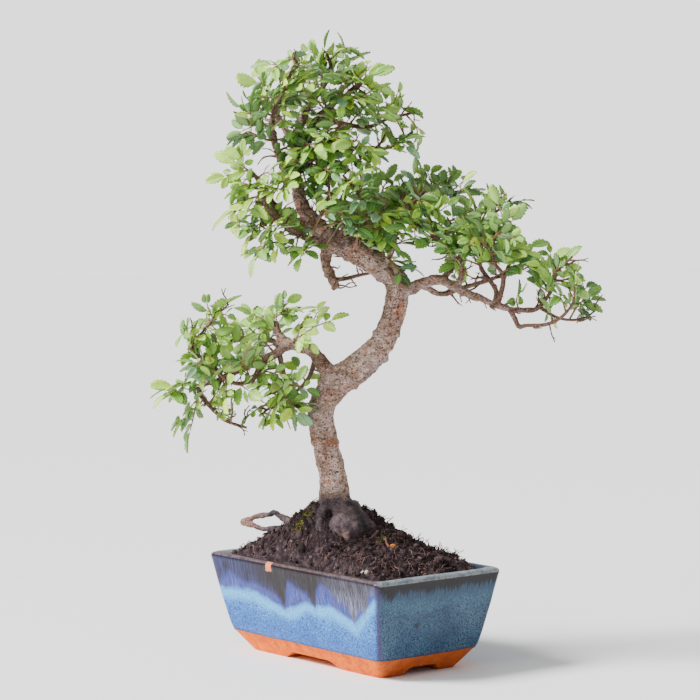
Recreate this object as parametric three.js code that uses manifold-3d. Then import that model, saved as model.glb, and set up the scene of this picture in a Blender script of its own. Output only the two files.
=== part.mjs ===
// Chinese elm bonsai in a glazed rectangular pot.
//
// Millimetres, +Z up. The pot's long side lies along X and its front looks to -Y.
// The tree is described in its own frame, seen from the side it is meant to be seen from:
// u runs to the right, v away from the viewer and z up, with the trunk's foot near u = v = 0.
// That frame is turned by TREE_TURN about Z, because the tree faces one corner of the pot.
import * as THREE from "three";
import { mergeVertices } from "three/addons/utils/BufferGeometryUtils.js";
import Module from "manifold-3d";

const wasm = await Module();
wasm.setup();

const GAP = 0.3;

const POT_LENGTH = 220;
const POT_WIDTH = 132;
const POT_HEIGHT = 82;
const POT_PLACE = { x: -19, y: -12.5 };
const FLOOR_TOP = 14;
const CORNER_RADIUS = 5;
const GLAZE_EDGE = 16;
const FOOT_HEIGHT = 5.5;
const FOOT_ARCH_LONG = [35.5, 23];
const FOOT_ARCH_SHORT = [18.5, 11];

const DRAIN_RADIUS = 8;
const DRAIN_SPACING = 92;
const SCREEN_SIZE = 26;
const SCREEN_THICKNESS = 1;
const SCREEN_CELLS = 3;
const SCREEN_HOLE = 6;

const SOIL_RIM_LEVEL = 74;
const SOIL_BED_RISE = 21.7;
const SOIL_DOME_RISE = 36.1;
const SOIL_DOME_RADIUS = 119;
const SOIL_RELIEF = 1.4;
const SOIL_DENT = { u: -3, v: -37, depth: 19, spread: 17 };

const TREE_TURN = THREE.MathUtils.degToRad(50.5);
const TRUNK_FOOT = { x: -8.5, y: -10 };

const LEAF_THICKNESS = 0.8;
const LEAF_WIDTH_RATIO = 0.6;
const LEAF_CUP = 0.14;
const LEAF_DROOP = 0.16;
const LEAF_LENGTH = [16, 22];
const LEAF_ROOT = 0.7;
const TWIG_LENGTH = 33;
const TWIG_HALF_WIDTH = 1;
const TWIG_TIP_HALF_WIDTH = 0.7;
const SPRAY_TRIES = 12;
const LOOSE_SCRAP = 3;

// A toothed leaf's outline as [share of its length, offset as a share of its width].
const LEAF_EDGE = [[0.28, -0.5], [0.62, -0.4], [1, 0.03], [0.74, 0.38], [0.54, 0.33], [0.34, 0.5]];

// Half length, half width, height and corner radius of the pot's outside, from its feet up.
const POT_OUTSIDE = [
  [84.5, 41, 0, 9],
  [90.5, 46.5, 8, 8],
  [95.5, 51, 15, 7],
  [96.8, 52.4, GLAZE_EDGE + 0.6, 6.5],
  [99.4, 55, 25, 6],
  [104.6, 60.4, 50, 5.5],
  [109.2, 65.2, 75, CORNER_RADIUS],
  [POT_LENGTH / 2, POT_WIDTH / 2, 78, CORNER_RADIUS],
  [109.3, 65.3, 80.8, CORNER_RADIUS],
  [106.6, 62.6, POT_HEIGHT, 6],
];

// The same for the hollow inside, which runs out above the rim.
const POT_INSIDE = [
  [81, 37, FLOOR_TOP, 8],
  [86, 42, FLOOR_TOP + 5, 9],
  [99.2, 55.2, 76, 9],
  [100.6, 56.6, 80.4, 9],
  [104, 60, POT_HEIGHT + 0.6, 9],
];

// Limbs as points [u, v, z, radius] in the tree's frame, each from inside the limb it grows from.
const LIMBS = {
  trunk: [
    [-12, 0, 76, 13.5], [-14, 0, 114, 15.6], [-15, 0, 132, 13.5], [-16, 0, 149, 11.5],
    [-22, 0, 175, 10.9], [-26, -1, 197, 10.9], [-24, -2, 212, 11.1], [-12, -2, 228, 12.3],
    [4, -1, 240, 12.3], [23, 0, 259, 10.4], [32, 2, 279, 9.6], [36, 3, 297, 9.8],
    [35, 4, 312, 10.2], [23, 5, 322, 10.2], [2, 5, 335, 10.1], [-19, 4, 346, 9.4],
    [-32, 3, 359, 7.4], [-41, 3, 372, 6.1], [-45, 4, 387, 5.3], [-47, 5, 406, 4.7],
    [-46, 6, 424, 4.3], [-43, 6, 441, 3.8],
  ],
  apex_right: [
    [-46, 5, 406, 4.1], [-36, 2, 426, 3.7], [-25, -2, 446, 3.4], [-12, -6, 459, 3.1],
    [-1, -9, 465, 2.5], [11, -12, 476, 1.6],
  ],
  apex_left: [
    [-44, 4, 385, 4.5], [-55, -2, 402, 3.7], [-64, -6, 426, 3.0], [-65, -9, 444, 2.5],
    [-56, -14, 467, 1.8], [-45, -18, 489, 1.2],
  ],
  apex_top: [
    [-43, 6, 437, 3.6], [-35, 14, 456, 2.8], [-24, 20, 470, 2.1], [-18, 20, 484, 1.6],
    [-21, 20, 497, 1.2],
  ],
  apex_back: [[-46, 6, 418, 3.9], [-57, 22, 438, 3.0], [-68, 38, 453, 2.3], [-75, 48, 468, 1.6]],
  crown_left: [
    [-33, 0, 359, 5.3], [-51, -10, 360, 4.1], [-65, -18, 374, 3.3], [-73, -24, 390, 2.5],
    [-81, -30, 400, 1.6],
  ],
  low_left: [
    [-6, 2, 336, 5.3], [-22, -12, 340, 4.5], [-39, -24, 348, 3.3], [-55, -32, 357, 2.7],
    [-66, -38, 368, 2.0], [-73, -42, 381, 1.5],
  ],
  stub: [
    [-19, 2, 343, 4.9], [-22, -2, 327, 4.6], [-18, -4, 316, 4.3], [-13, -5, 305, 3.6],
    [-11, -5, 302, 1.4],
  ],
  stub_side: [[-17, -3, 312, 2.5], [-5, 6, 313, 1.8], [4, 14, 315, 1.5], [16, 22, 317, 1.1]],
  crown_back: [
    [23, 6, 321, 8.2], [18, 20, 336, 7.0], [15, 32, 350, 6.1], [13, 46, 365, 4.5],
    [8, 58, 380, 3.3],
  ],
  crown_back_right: [
    [15, 30, 347, 5.3], [29, 42, 358, 4.1], [46, 52, 370, 3.3], [67, 60, 378, 2.5],
    [87, 66, 383, 1.6],
  ],
  spur: [
    [-25, -1, 444, 3.0], [-6, 4, 439, 2.1], [13, 8, 437, 1.6], [30, 10, 444, 1.4],
    [48, 12, 448, 1.0],
  ],
  spur_low: [
    [-44, 5, 418, 3.3], [-18, -4, 418, 2.5], [12, -10, 420, 1.6], [29, -12, 420, 1.5],
    [49, -14, 433, 1.0],
  ],
  right: [
    [36, 1, 304, 7.4], [48, -8, 306, 5.3], [58, -14, 311, 4.5], [72, -20, 313, 4.1],
    [81, -24, 308, 3.8], [93, -27, 302, 3.4], [105, -29, 298, 3.1], [114, -30, 294, 2.9],
    [126, -30, 290, 2.5], [141, -30, 289, 2.1], [150, -28, 291, 1.9], [161, -24, 305, 1.5],
    [166, -22, 320, 1.3], [178, -20, 332, 0.9],
  ],
  right_low: [
    [127, -30, 289, 2.1], [131, -32, 282, 2.1], [134, -34, 276, 2.0], [140, -36, 277, 1.7],
    [155, -40, 278, 1.6], [166, -42, 283, 1.4], [174, -42, 291, 1.2], [178, -42, 299, 0.9],
  ],
  right_tip: [
    [151, -28, 291, 1.6], [165, -22, 283, 1.2], [178, -14, 280, 1.1], [190, -8, 282, 0.9],
    [201, -2, 289, 0.7],
  ],
  right_up_far: [
    [114, -30, 294, 2.1], [116, -26, 304, 2.0], [110, -22, 314, 1.9], [104, -18, 323, 1.7],
    [104, -12, 335, 1.6], [104, -6, 349, 1.3],
  ],
  right_up_near: [
    [117, -30, 294, 2.3], [121, -34, 310, 2.0], [120, -36, 319, 1.7], [113, -40, 329, 1.4],
    [111, -44, 342, 1.1],
  ],
  right_up_end: [[121, -34, 310, 1.6], [125, -26, 323, 1.3], [136, -18, 337, 0.9]],
  right_mid: [
    [84, -24, 307, 3.1], [88, -28, 321, 2.5], [81, -32, 331, 2.3], [69, -36, 343, 2.0],
    [65, -38, 348, 1.9], [60, -40, 357, 1.6],
  ],
  right_back: [
    [72, -19, 312, 3.3], [81, -2, 322, 2.8], [93, 14, 334, 2.4], [102, 28, 345, 2.0],
    [115, 40, 363, 1.6], [127, 46, 372, 1.1],
  ],
  right_back_low: [
    [56, -12, 309, 3.0], [72, 8, 300, 2.5], [89, 22, 304, 2.1], [112, 34, 310, 1.8],
    [135, 42, 318, 1.3],
  ],
  inner_top: [[-46, 4, 398, 3], [-34, -12, 410, 2.2], [-20, -22, 424, 1.7], [-8, -26, 440, 1.2]],
  inner_front: [
    [0, 0, 336, 3.4], [6, -16, 350, 2.6], [10, -28, 366, 2], [4, -36, 384, 1.5],
    [-8, -40, 398, 1],
  ],
  inner_right: [
    [26, 0, 320, 3.4], [32, -16, 338, 2.6], [36, -26, 356, 2], [46, -32, 372, 1.5],
    [58, -34, 386, 1],
  ],
  loop: [[27, -1, 322, 2.2], [31, -15, 319, 2.1], [35, -19, 311, 2.3], [46, -11, 306, 2.5]],
  left: [
    [-12, -2, 228, 9.0], [-20, -3, 237, 7.0], [-25, -4, 243, 6.0], [-32, -5, 253, 5.1],
    [-42, -8, 257, 4.6], [-52, -11, 259, 4.3], [-64, -14, 252, 3.9], [-76, -16, 245, 3.4],
    [-84, -17, 244, 3.2], [-100, -18, 236, 2.9], [-109, -18, 231, 2.6], [-119, -17, 228, 2.5],
    [-125, -16, 224, 2.3], [-123, -17, 218, 2.0], [-118, -18, 212, 1.9], [-111, -20, 205, 1.7],
    [-102, -22, 198, 1.5], [-86, -24, 193, 1.1],
  ],
  left_stub: [
    [-51, -10, 258, 4.1], [-58, -4, 264, 3.8], [-62, 0, 271, 3.5], [-64, 2, 278, 3],
    [-65, 2, 281, 1.2],
  ],
  left_up: [
    [-106, -18, 232, 2.0], [-117, -24, 248, 1.8], [-132, -28, 255, 1.5], [-123, -30, 269, 1.2],
    [-112, -30, 283, 1.0], [-100, -30, 294, 0.7],
  ],
  left_back: [
    [-52, -10, 258, 3.4], [-68, 8, 262, 2.8], [-85, 22, 263, 2.3], [-102, 34, 259, 1.8],
    [-117, 42, 255, 1.3],
  ],
  left_front: [[-74, -16, 246, 2.6], [-80, -28, 234, 2.3], [-91, -36, 230, 1.8], [-102, -42, 233, 1.3]],
  left_under: [
    [-60, -12, 254, 2.3], [-57, -17, 240, 1.9], [-53, -20, 226, 1.6], [-58, -24, 216, 1.4],
    [-68, -27, 209, 1.1], [-76, -28, 203, 0.7],
  ],
  left_under_back: [
    [-30, -4, 250, 2.2], [-36, 14, 231, 1.8], [-46, 26, 219, 1.5], [-57, 34, 212, 1.2],
    [-69, 40, 217, 0.9],
  ],
};

// Roots: the swollen crown's lobes, the fork that lies bare on the soil, and those that go down into it.
const ROOTS = {
  lobe: [[-20, -8, 132, 5], [-25, -15, 124, 4.6], [-27, -20, 112, 4.3], [-28, -23, 100, 3.4]],
  lobe_right: [[-6, -4, 124, 7], [8, -12, 116, 6], [20, -16, 103, 5], [30, -18, 90, 4]],
  fork_top: [
    [-28, 0, 112, 5], [-52, 14, 112, 3.4], [-65, 24, 117, 2.9], [-69, 27, 115, 2.7],
    [-82, 36, 112, 2.6], [-94, 44, 106, 2.4],
  ],
  fork_low: [
    [-28, -2, 104, 5], [-51, 12, 105, 3.6], [-65, 22, 104, 3.0], [-76, 30, 103, 2.6],
    [-84, 36, 105, 2.3], [-93, 43, 105, 2.3],
  ],
  down_left: [[-18, 4, 112, 7], [-34, 14, 92, 5], [-48, 22, 66, 3], [-52, 24, 40, 2]],
  down_right: [[-4, 2, 108, 7], [14, -2, 88, 5], [34, -8, 66, 3], [44, -12, 40, 2]],
  down_back: [[-12, 6, 112, 7], [-8, 20, 90, 5], [-2, 30, 62, 3], [0, 34, 38, 2]],
  down_front: [[-10, -6, 104, 7], [-8, -20, 86, 5], [-4, -30, 60, 3], [-2, -34, 38, 2]],
};

// Swellings on the wood, as [u, v, z, radius, height scale]: the root crown's bulb and old cut knots.
const SWELLINGS = [
  [-3.5, -15, 109, 18.4, 0.95],
  [-4, -8, 122, 12.5, 0.9],
  [-23, -8, 118, 9, 1],
  [35, -3, 268, 4.6, 0.9],
  [24.5, -4, 248.5, 5.6, 0.9],
  [2, -1, 224.5, 3.4, 0.9],
  [-33, -6, 204, 4.5, 0.9],
  [32, -6, 320, 6, 0.8],
  [-24, -4, 352, 6, 0.8],
  [-49, 0, 396, 4.6, 0.9],
];

// The end of each leafy spray, as [u, v, z], listed under the limb it grows from.
const SPRAYS = {
  apex_top: [[-23, 18, 500], [-42, 30, 488], [-2, 28, 490]],
  apex_right: [[17, -8, 478], [11, -26, 460], [-12, -36, 466]],
  apex_left: [[-65, -12, 487], [-44, -42, 469], [-90, -8, 452], [-89, -26, 428]],
  apex_back: [[-79, 48, 479], [-47, 62, 463]],
  crown_left: [[-94, -30, 408], [-90, -42, 389], [-53, -48, 388]],
  low_left: [[-100, -38, 367], [-83, -28, 347], [-78, -52, 330], [-42, -46, 332]],
  spur: [[44, 20, 452]],
  spur_low: [[42, -20, 426], [-1, -42, 424]],
  trunk: [[-29, -42, 421]],
  crown_back: [[-1, 74, 388], [29, 46, 393]],
  crown_back_right: [[60, 56, 390], [99, 74, 383]],
  right_back: [[127, 30, 372], [124, 62, 353]],
  right_up_far: [[98, -14, 373], [126, 8, 346]],
  right_up_near: [[127, -46, 361], [93, -58, 353]],
  right_up_end: [[144, -12, 339]],
  right: [[174, -15, 328]],
  right_low: [[178, -52, 311]],
  right_tip: [[194, -2, 296]],
  right_back_low: [[152, 54, 320]],
  right_mid: [[64, -34, 373], [44, -52, 356], [74, -58, 339]],
  left_stub: [[-45, -3, 287], [-74, 10, 282]],
  left: [[-18, -24, 280], [-152, -12, 224], [-132, -26, 191]],
  left_up: [[-106, -28, 291], [-133, -36, 273]],
  left_front: [[-127, -48, 248], [-90, -54, 254]],
  left_back: [[-118, 48, 263], [-84, 40, 273]],
  left_under: [[-68, -38, 206], [-45, -12, 205]],
  left_under_back: [[-73, 50, 221]],
};

const finishes = {
  pot: new THREE.MeshStandardMaterial({ color: 0x3f6f9c, roughness: 0.2, metalness: 0 }),
  screen: new THREE.MeshStandardMaterial({ color: 0x1d1f20, roughness: 0.6, metalness: 0 }),
  soil: new THREE.MeshStandardMaterial({ color: 0x2c211f, roughness: 1, metalness: 0 }),
  bark: new THREE.MeshStandardMaterial({ color: 0x8d7a6d, roughness: 0.85, metalness: 0 }),
  leaf: new THREE.MeshStandardMaterial({ color: 0x4f7f22, roughness: 0.45, metalness: 0 }),
};

// Seeded generator of numbers from 0 to 1.
function randomFrom(seed) {
  let state = seed >>> 0;
  return () => {
    state = (state + 0x6d2b79f5) >>> 0;
    let t = state;
    t = Math.imul(t ^ (t >>> 15), t | 1);
    t ^= t + Math.imul(t ^ (t >>> 7), t | 61);
    return ((t ^ (t >>> 14)) >>> 0) / 4294967296;
  };
}

function solidFrom(geometry) {
  const bare = geometry.clone();
  bare.deleteAttribute("normal");
  bare.deleteAttribute("uv");
  const merged = mergeVertices(bare, 1e-4);
  return new wasm.Manifold(
    new wasm.Mesh({
      numProp: 3,
      vertProperties: new Float32Array(merged.attributes.position.array),
      triVerts: new Uint32Array(merged.index.array),
    }),
  );
}

function geometryFrom(solid) {
  const mesh = solid.getMesh();
  const positions = new Float32Array(mesh.numVert * 3);
  for (let i = 0; i < mesh.numVert; i++) {
    const start = i * mesh.numProp;
    positions.set(mesh.vertProperties.subarray(start, start + 3), i * 3);
  }
  const geometry = new THREE.BufferGeometry();
  geometry.setAttribute("position", new THREE.BufferAttribute(positions, 3));
  geometry.setIndex(new THREE.BufferAttribute(new Uint32Array(mesh.triVerts), 1));
  geometry.computeVertexNormals();
  return geometry;
}

// Moves every vertex of a geometry by a formula.
function reshaped(geometry, formula) {
  const position = geometry.attributes.position;
  const point = new THREE.Vector3();
  for (let i = 0; i < position.count; i++) {
    point.fromBufferAttribute(position, i);
    formula(point);
    position.setXYZ(i, point.x, point.y, point.z);
  }
  return geometry;
}

// The largest body of a solid, without loose scraps.
function largestBody(solid) {
  const bodies = solid.decompose();
  bodies.sort((a, b) => b.volume() - a.volume());
  return bodies[0];
}

function inTreeFrame([u, v, z]) {
  return new THREE.Vector3(u, v, z).applyAxisAngle(new THREE.Vector3(0, 0, 1), TREE_TURN);
}

function curveThrough(points) {
  return new THREE.CatmullRomCurve3(points, false, "catmullrom", 0.5);
}

// A closed round bar along a curve: a cylinder bent to it, with the radius given along it.
function bentBar(curve, radiusAt, sides, steps, grow = 0) {
  const frames = curve.computeFrenetFrames(steps, false);
  const bar = new THREE.CylinderGeometry(1, 1, 1, sides, steps);
  return reshaped(bar, (point) => {
    const step = Math.round((point.y + 0.5) * steps);
    const along = step / steps;
    const radius = radiusAt(along) + grow;
    const end = (step === steps ? grow : 0) - (step === 0 ? grow : 0);
    const across = frames.binormals[step].clone().multiplyScalar(point.x * radius);
    const beside = frames.normals[step].clone().multiplyScalar(point.z * radius);
    curve.getPointAt(along, point);
    point.addScaledVector(frames.tangents[step], end);
    point.add(across).add(beside);
  });
}

// The radius at a share of a limb's length, read between the radii of its points.
function radiusAlong(curve, radii) {
  return (along) => {
    const place = curve.getUtoTmapping(along) * (radii.length - 1);
    const before = Math.min(Math.floor(place), radii.length - 2);
    return THREE.MathUtils.lerp(radii[before], radii[before + 1], place - before);
  };
}

function limbFrom(points) {
  const curve = curveThrough(points.map(inTreeFrame));
  const radiusAt = radiusAlong(curve, points.map((point) => point[3]));
  const thick = points[0][3];
  const sides = thick > 12 ? 10 : thick > 4.4 ? 6 : 4;
  const steps = Math.max(3, Math.round(curve.getLength() / (thick > 12 ? 19 : 17)));
  return { curve, radiusAt, sides, steps };
}

function limbSolid({ curve, radiusAt, sides, steps }, grow) {
  return solidFrom(bentBar(curve, radiusAt, sides, steps, grow));
}

function swellingSolid([u, v, z, radius, height], grow) {
  const ball = new THREE.IcosahedronGeometry(radius + grow, radius > 10 ? 1 : 0);
  ball.scale(1, 1, height);
  const centre = inTreeFrame([u, v, z]);
  ball.translate(centre.x, centre.y, centre.z);
  return solidFrom(ball);
}

const limbs = Object.fromEntries(
  Object.entries(LIMBS).map(([name, points]) => [name, limbFrom(points)]),
);
const roots = Object.values(ROOTS).map(limbFrom);

// The whole of the wood; grow widens it evenly, for what has to stay clear of it.
function woodSolid(grow) {
  const pieces = [
    ...Object.values(limbs).map((limb) => limbSolid(limb, grow)),
    ...roots.map((root) => limbSolid(root, grow)),
    ...SWELLINGS.map((swelling) => swellingSolid(swelling, grow)),
  ];
  return pieces.reduce((whole, piece) => whole.add(piece));
}

// A solid with the outline of a rounded rectangle, which changes from level to level.
function loft(levels) {
  const [halfLength, halfWidth, , radius] = levels[0];
  const cornerX = halfLength - radius;
  const cornerY = halfWidth - radius;
  const outline = new THREE.Shape();
  outline.absarc(cornerX, cornerY, radius, 0, Math.PI / 2);
  outline.absarc(-cornerX, cornerY, radius, Math.PI / 2, Math.PI);
  outline.absarc(-cornerX, -cornerY, radius, Math.PI, 1.5 * Math.PI);
  outline.absarc(cornerX, -cornerY, radius, 1.5 * Math.PI, 2 * Math.PI);
  const block = new THREE.ExtrudeGeometry(outline, {
    depth: levels.length - 1,
    steps: levels.length - 1,
    bevelEnabled: false,
    curveSegments: 3,
  });
  return solidFrom(
    reshaped(block, (point) => {
      const [a, b, height, corner] = levels[Math.round(point.z)];
      const outX = (Math.abs(point.x) - cornerX) * (corner / radius) + a - corner;
      const outY = (Math.abs(point.y) - cornerY) * (corner / radius) + b - corner;
      point.set(Math.sign(point.x) * outX, Math.sign(point.y) * outY, height);
    }),
  );
}

// The space under the pot between two feet, as a bar with sloping ends.
function footArch([floorHalf, topHalf], length, turned) {
  const section = new THREE.Shape();
  section.moveTo(-floorHalf - 2, -1);
  section.lineTo(floorHalf + 2, -1);
  section.lineTo(topHalf + 3, FOOT_HEIGHT - 0.8);
  section.lineTo(topHalf, FOOT_HEIGHT);
  section.lineTo(-topHalf, FOOT_HEIGHT);
  section.lineTo(-topHalf - 3, FOOT_HEIGHT - 0.8);
  const bar = new THREE.ExtrudeGeometry(section, { depth: length, bevelEnabled: false });
  bar.translate(0, 0, -length / 2);
  bar.rotateX(Math.PI / 2);
  if (turned) bar.rotateZ(Math.PI / 2);
  return solidFrom(bar);
}

function drainHole(x) {
  const hole = new THREE.CylinderGeometry(DRAIN_RADIUS, DRAIN_RADIUS, FLOOR_TOP * 2, 16);
  hole.rotateX(Math.PI / 2);
  hole.translate(x, 0, FLOOR_TOP);
  return solidFrom(hole);
}

const drainPlaces = [-DRAIN_SPACING / 2, DRAIN_SPACING / 2];
let pot = loft(POT_OUTSIDE).subtract(loft(POT_INSIDE));
pot = pot.subtract(footArch(FOOT_ARCH_LONG, POT_WIDTH * 2, false));
pot = pot.subtract(footArch(FOOT_ARCH_SHORT, POT_LENGTH * 2, true));
for (const x of drainPlaces) pot = pot.subtract(drainHole(x));

// A plastic screen that keeps the soil in over a drain hole.
function drainScreen(x) {
  const middle = FLOOR_TOP + GAP + SCREEN_THICKNESS / 2;
  const sheet = new THREE.BoxGeometry(SCREEN_SIZE, SCREEN_SIZE, SCREEN_THICKNESS);
  let screen = solidFrom(sheet.translate(x, 0, middle));
  const pitch = SCREEN_SIZE / SCREEN_CELLS;
  for (let row = 0; row < SCREEN_CELLS; row++) {
    for (let column = 0; column < SCREEN_CELLS; column++) {
      const opening = new THREE.BoxGeometry(SCREEN_HOLE, SCREEN_HOLE, SCREEN_THICKNESS * 2);
      const beside = x + pitch * (column + 0.5) - SCREEN_SIZE / 2;
      const along = pitch * (row + 0.5) - SCREEN_SIZE / 2;
      screen = screen.subtract(solidFrom(opening.translate(beside, along, middle)));
    }
  }
  return screen;
}

function screenRoom(x) {
  const side = SCREEN_SIZE + 2 * GAP;
  const height = SCREEN_THICKNESS + 2 * GAP;
  const room = new THREE.BoxGeometry(side, side, height + GAP);
  room.translate(x, 0, FLOOR_TOP + height / 2);
  return solidFrom(room);
}

// Distance from the trunk's foot to the pot's inner wall, in the direction of an angle.
function wallDistance(angle) {
  const [, , [halfLength, halfWidth]] = POT_INSIDE;
  const dx = Math.cos(angle);
  const dy = Math.sin(angle);
  const toX = (Math.sign(dx) * halfLength - TRUNK_FOOT.x) / dx;
  const toY = (Math.sign(dy) * halfWidth - TRUNK_FOOT.y) / dy;
  return Math.min(Math.abs(toX), Math.abs(toY));
}

// Height of the heaped soil at a share of the way from the trunk's foot to the wall,
// with a dent that bares the root crown on the side it is seen from.
function soilHeight(share, distance, angle) {
  const bed = SOIL_BED_RISE * (1 - Math.pow(share, 5.3));
  const slope = 0.5 + 0.5 * Math.cos(Math.PI * Math.min(distance / SOIL_DOME_RADIUS, 1));
  const dome = SOIL_DOME_RISE * Math.pow(slope, 2.5) * (1 - Math.pow(share, 5.7));
  const lumps =
    Math.sin(7 * angle + distance * 0.31) * Math.cos(3 * angle - distance * 0.47) +
    0.6 * Math.sin(11 * angle - distance * 0.73);
  const bared = inTreeFrame([SOIL_DENT.u, SOIL_DENT.v, 0]);
  const dx = TRUNK_FOOT.x + distance * Math.cos(angle) - bared.x;
  const dy = TRUNK_FOOT.y + distance * Math.sin(angle) - bared.y;
  const dent = SOIL_DENT.depth * Math.exp(-(dx * dx + dy * dy) / (2 * SOIL_DENT.spread ** 2));
  return SOIL_RIM_LEVEL + bed + dome - dent + SOIL_RELIEF * lumps * Math.min(1, 4 * share);
}

// The soil fills the pot and is heaped round the trunk.
function soilSolid(wood) {
  const rings = 7;
  const profile = [new THREE.Vector2(0, 0)];
  for (let i = rings; i >= 0; i--) profile.push(new THREE.Vector2(i / rings, 1));
  profile.splice(1, 0, new THREE.Vector2(1, 0));
  const heap = reshaped(new THREE.LatheGeometry(profile, 26), (point) => {
    const share = Math.hypot(point.x, point.z);
    const angle = Math.atan2(point.x, point.z);
    const wall = wallDistance(angle);
    const distance = share * wall * 1.16;
    const height = point.y < 0.5 ? 5 : soilHeight(Math.min(distance / wall, 1), distance, angle);
    point.set(
      TRUNK_FOOT.x + distance * Math.cos(angle),
      TRUNK_FOOT.y + distance * Math.sin(angle),
      height,
    );
  });
  const inset = POT_INSIDE.map(([a, b, height, corner]) => [
    a - GAP,
    b - GAP,
    height === FLOOR_TOP ? height + GAP : height,
    corner,
  ]);
  const [a, b, , corner] = inset[inset.length - 1];
  inset.push([a, b, 150, corner]);
  let soil = solidFrom(heap).intersect(loft(inset)).subtract(wood);
  for (const x of drainPlaces) soil = soil.subtract(screenRoom(x));
  return largestBody(soil);
}

function boxesMeet(a, b) {
  return [0, 1, 2].every((axis) => a.min[axis] < b.max[axis] && b.min[axis] < a.max[axis]);
}

function meets(solid, others) {
  const box = solid.boundingBox();
  return others.some(
    (other) => boxesMeet(box, other.box) && !solid.intersect(other.solid).isEmpty(),
  );
}

function withBox(solid) {
  return { solid, box: solid.boundingBox() };
}

// The twig's own axes at a distance along it: its point, its direction, its face and its side.
function axesAt(twig, distance) {
  const share = THREE.MathUtils.clamp(distance / twig.length, 0, 1);
  const origin = twig.curve.getPointAt(share);
  const ahead = twig.curve.getTangentAt(share);
  const face = twig.face.clone().addScaledVector(ahead, -twig.face.dot(ahead)).normalize();
  const side = new THREE.Vector3().crossVectors(face, ahead);
  return { origin, ahead, face, side };
}

function twigHalfWidth(twig, distance) {
  return THREE.MathUtils.lerp(TWIG_HALF_WIDTH, TWIG_TIP_HALF_WIDTH, distance / twig.length);
}

// Points of a leaf's outline in the plane of its spray: distance along the twig, and across it.
// They go out along the edge nearer the twig's root and come back along the other.
function leafOutline(leaf, grow = 0) {
  const { at, side, angle, length, width } = leaf;
  return LEAF_EDGE.map(([share, offset]) => {
    const out = share * length + (share === 1 ? grow : 0);
    const over = offset * width + Math.sign(offset) * grow;
    const along = at + out * Math.cos(angle) + over * Math.sin(angle);
    const across = side === 0 ? -over : side * (0.6 + out * Math.sin(angle) - over * Math.cos(angle));
    return { along, across, leaf, out, over };
  });
}

// Where a point of the outline lies in space, at a level between the spray's two faces.
function placed(twig, { along, across, leaf, out, over }, level) {
  const { origin, ahead, face, side } = axesAt(twig, leaf ? leaf.at : along);
  let height = level;
  if (leaf) {
    height += leaf.lift * out + leaf.roll * over + LEAF_CUP * Math.abs(over);
    height -= (LEAF_DROOP * out * out) / leaf.length;
    origin.addScaledVector(ahead, along - leaf.at);
  }
  return origin.addScaledVector(side, across).addScaledVector(face, height);
}

// A thin plate with the outline of the given points, which follows the twig.
function plate(twig, outline, thickness) {
  const shape = new THREE.Shape(outline.map(({ along, across }) => new THREE.Vector2(along, across)));
  const sheet = new THREE.ExtrudeGeometry(shape, { depth: 1, bevelEnabled: false });
  return solidFrom(
    reshaped(sheet, (point) => {
      const miss = ({ along, across }) => Math.hypot(along - point.x, across - point.y);
      const corner = outline.reduce((best, other) => (miss(other) < miss(best) ? other : best));
      point.copy(placed(twig, corner, (point.z - 0.5) * thickness));
    }),
  );
}

function leafPlate(twig, leaf, grow) {
  const roots = [leaf.at - 0.2, leaf.at + 0.2].map((along) => ({ along, across: leaf.side * 0.9 }));
  if (leaf.side === 0) roots.forEach((root, i) => (root.across = 0.3 - 0.6 * i));
  const outline = [roots[0], ...leafOutline(leaf, grow), roots[1]];
  return withBox(plate(twig, outline, LEAF_THICKNESS + 2 * grow));
}

// A leafy spray in one piece: the twig with its leaves in two rows and one at its end.
function sprayPlate(twig, leaves) {
  const rows = [1, -1].map((side) => {
    const row = [{ along: 0, across: side * twigHalfWidth(twig, 0) }];
    const own = leaves.filter((leaf) => leaf.side === side).sort((a, b) => a.at - b.at);
    for (const leaf of own) {
      const across = side * twigHalfWidth(twig, leaf.at);
      row.push({ along: leaf.at - LEAF_ROOT, across });
      row.push(...leafOutline(leaf));
      row.push({ along: leaf.at + LEAF_ROOT, across });
    }
    row.push({ along: twig.length, across: side * TWIG_TIP_HALF_WIDTH });
    return row;
  });
  const last = leaves.find((leaf) => leaf.side === 0);
  const outline = [...rows[0], ...(last ? leafOutline(last) : []), ...rows[1].reverse()];
  return plate(twig, outline, LEAF_THICKNESS);
}

// Where a twig springs from its limb: the limb's end, or a place at the wanted length from its tip.
function springingPoint(limb, tip, taken, wanted) {
  const end = limb.curve.getPointAt(1);
  const reach = end.distanceTo(tip);
  if (!taken.length && reach < 34 && reach > 14) return { along: 1, point: end };
  let best = null;
  for (let i = 14; i <= 48; i++) {
    const along = i / 48;
    const point = limb.curve.getPointAt(along);
    if (taken.some((other) => other.distanceTo(point) < 6)) continue;
    const miss = Math.abs(point.distanceTo(tip) - wanted);
    if (!best || miss < best.miss) best = { along, point, miss };
  }
  return best;
}

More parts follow.
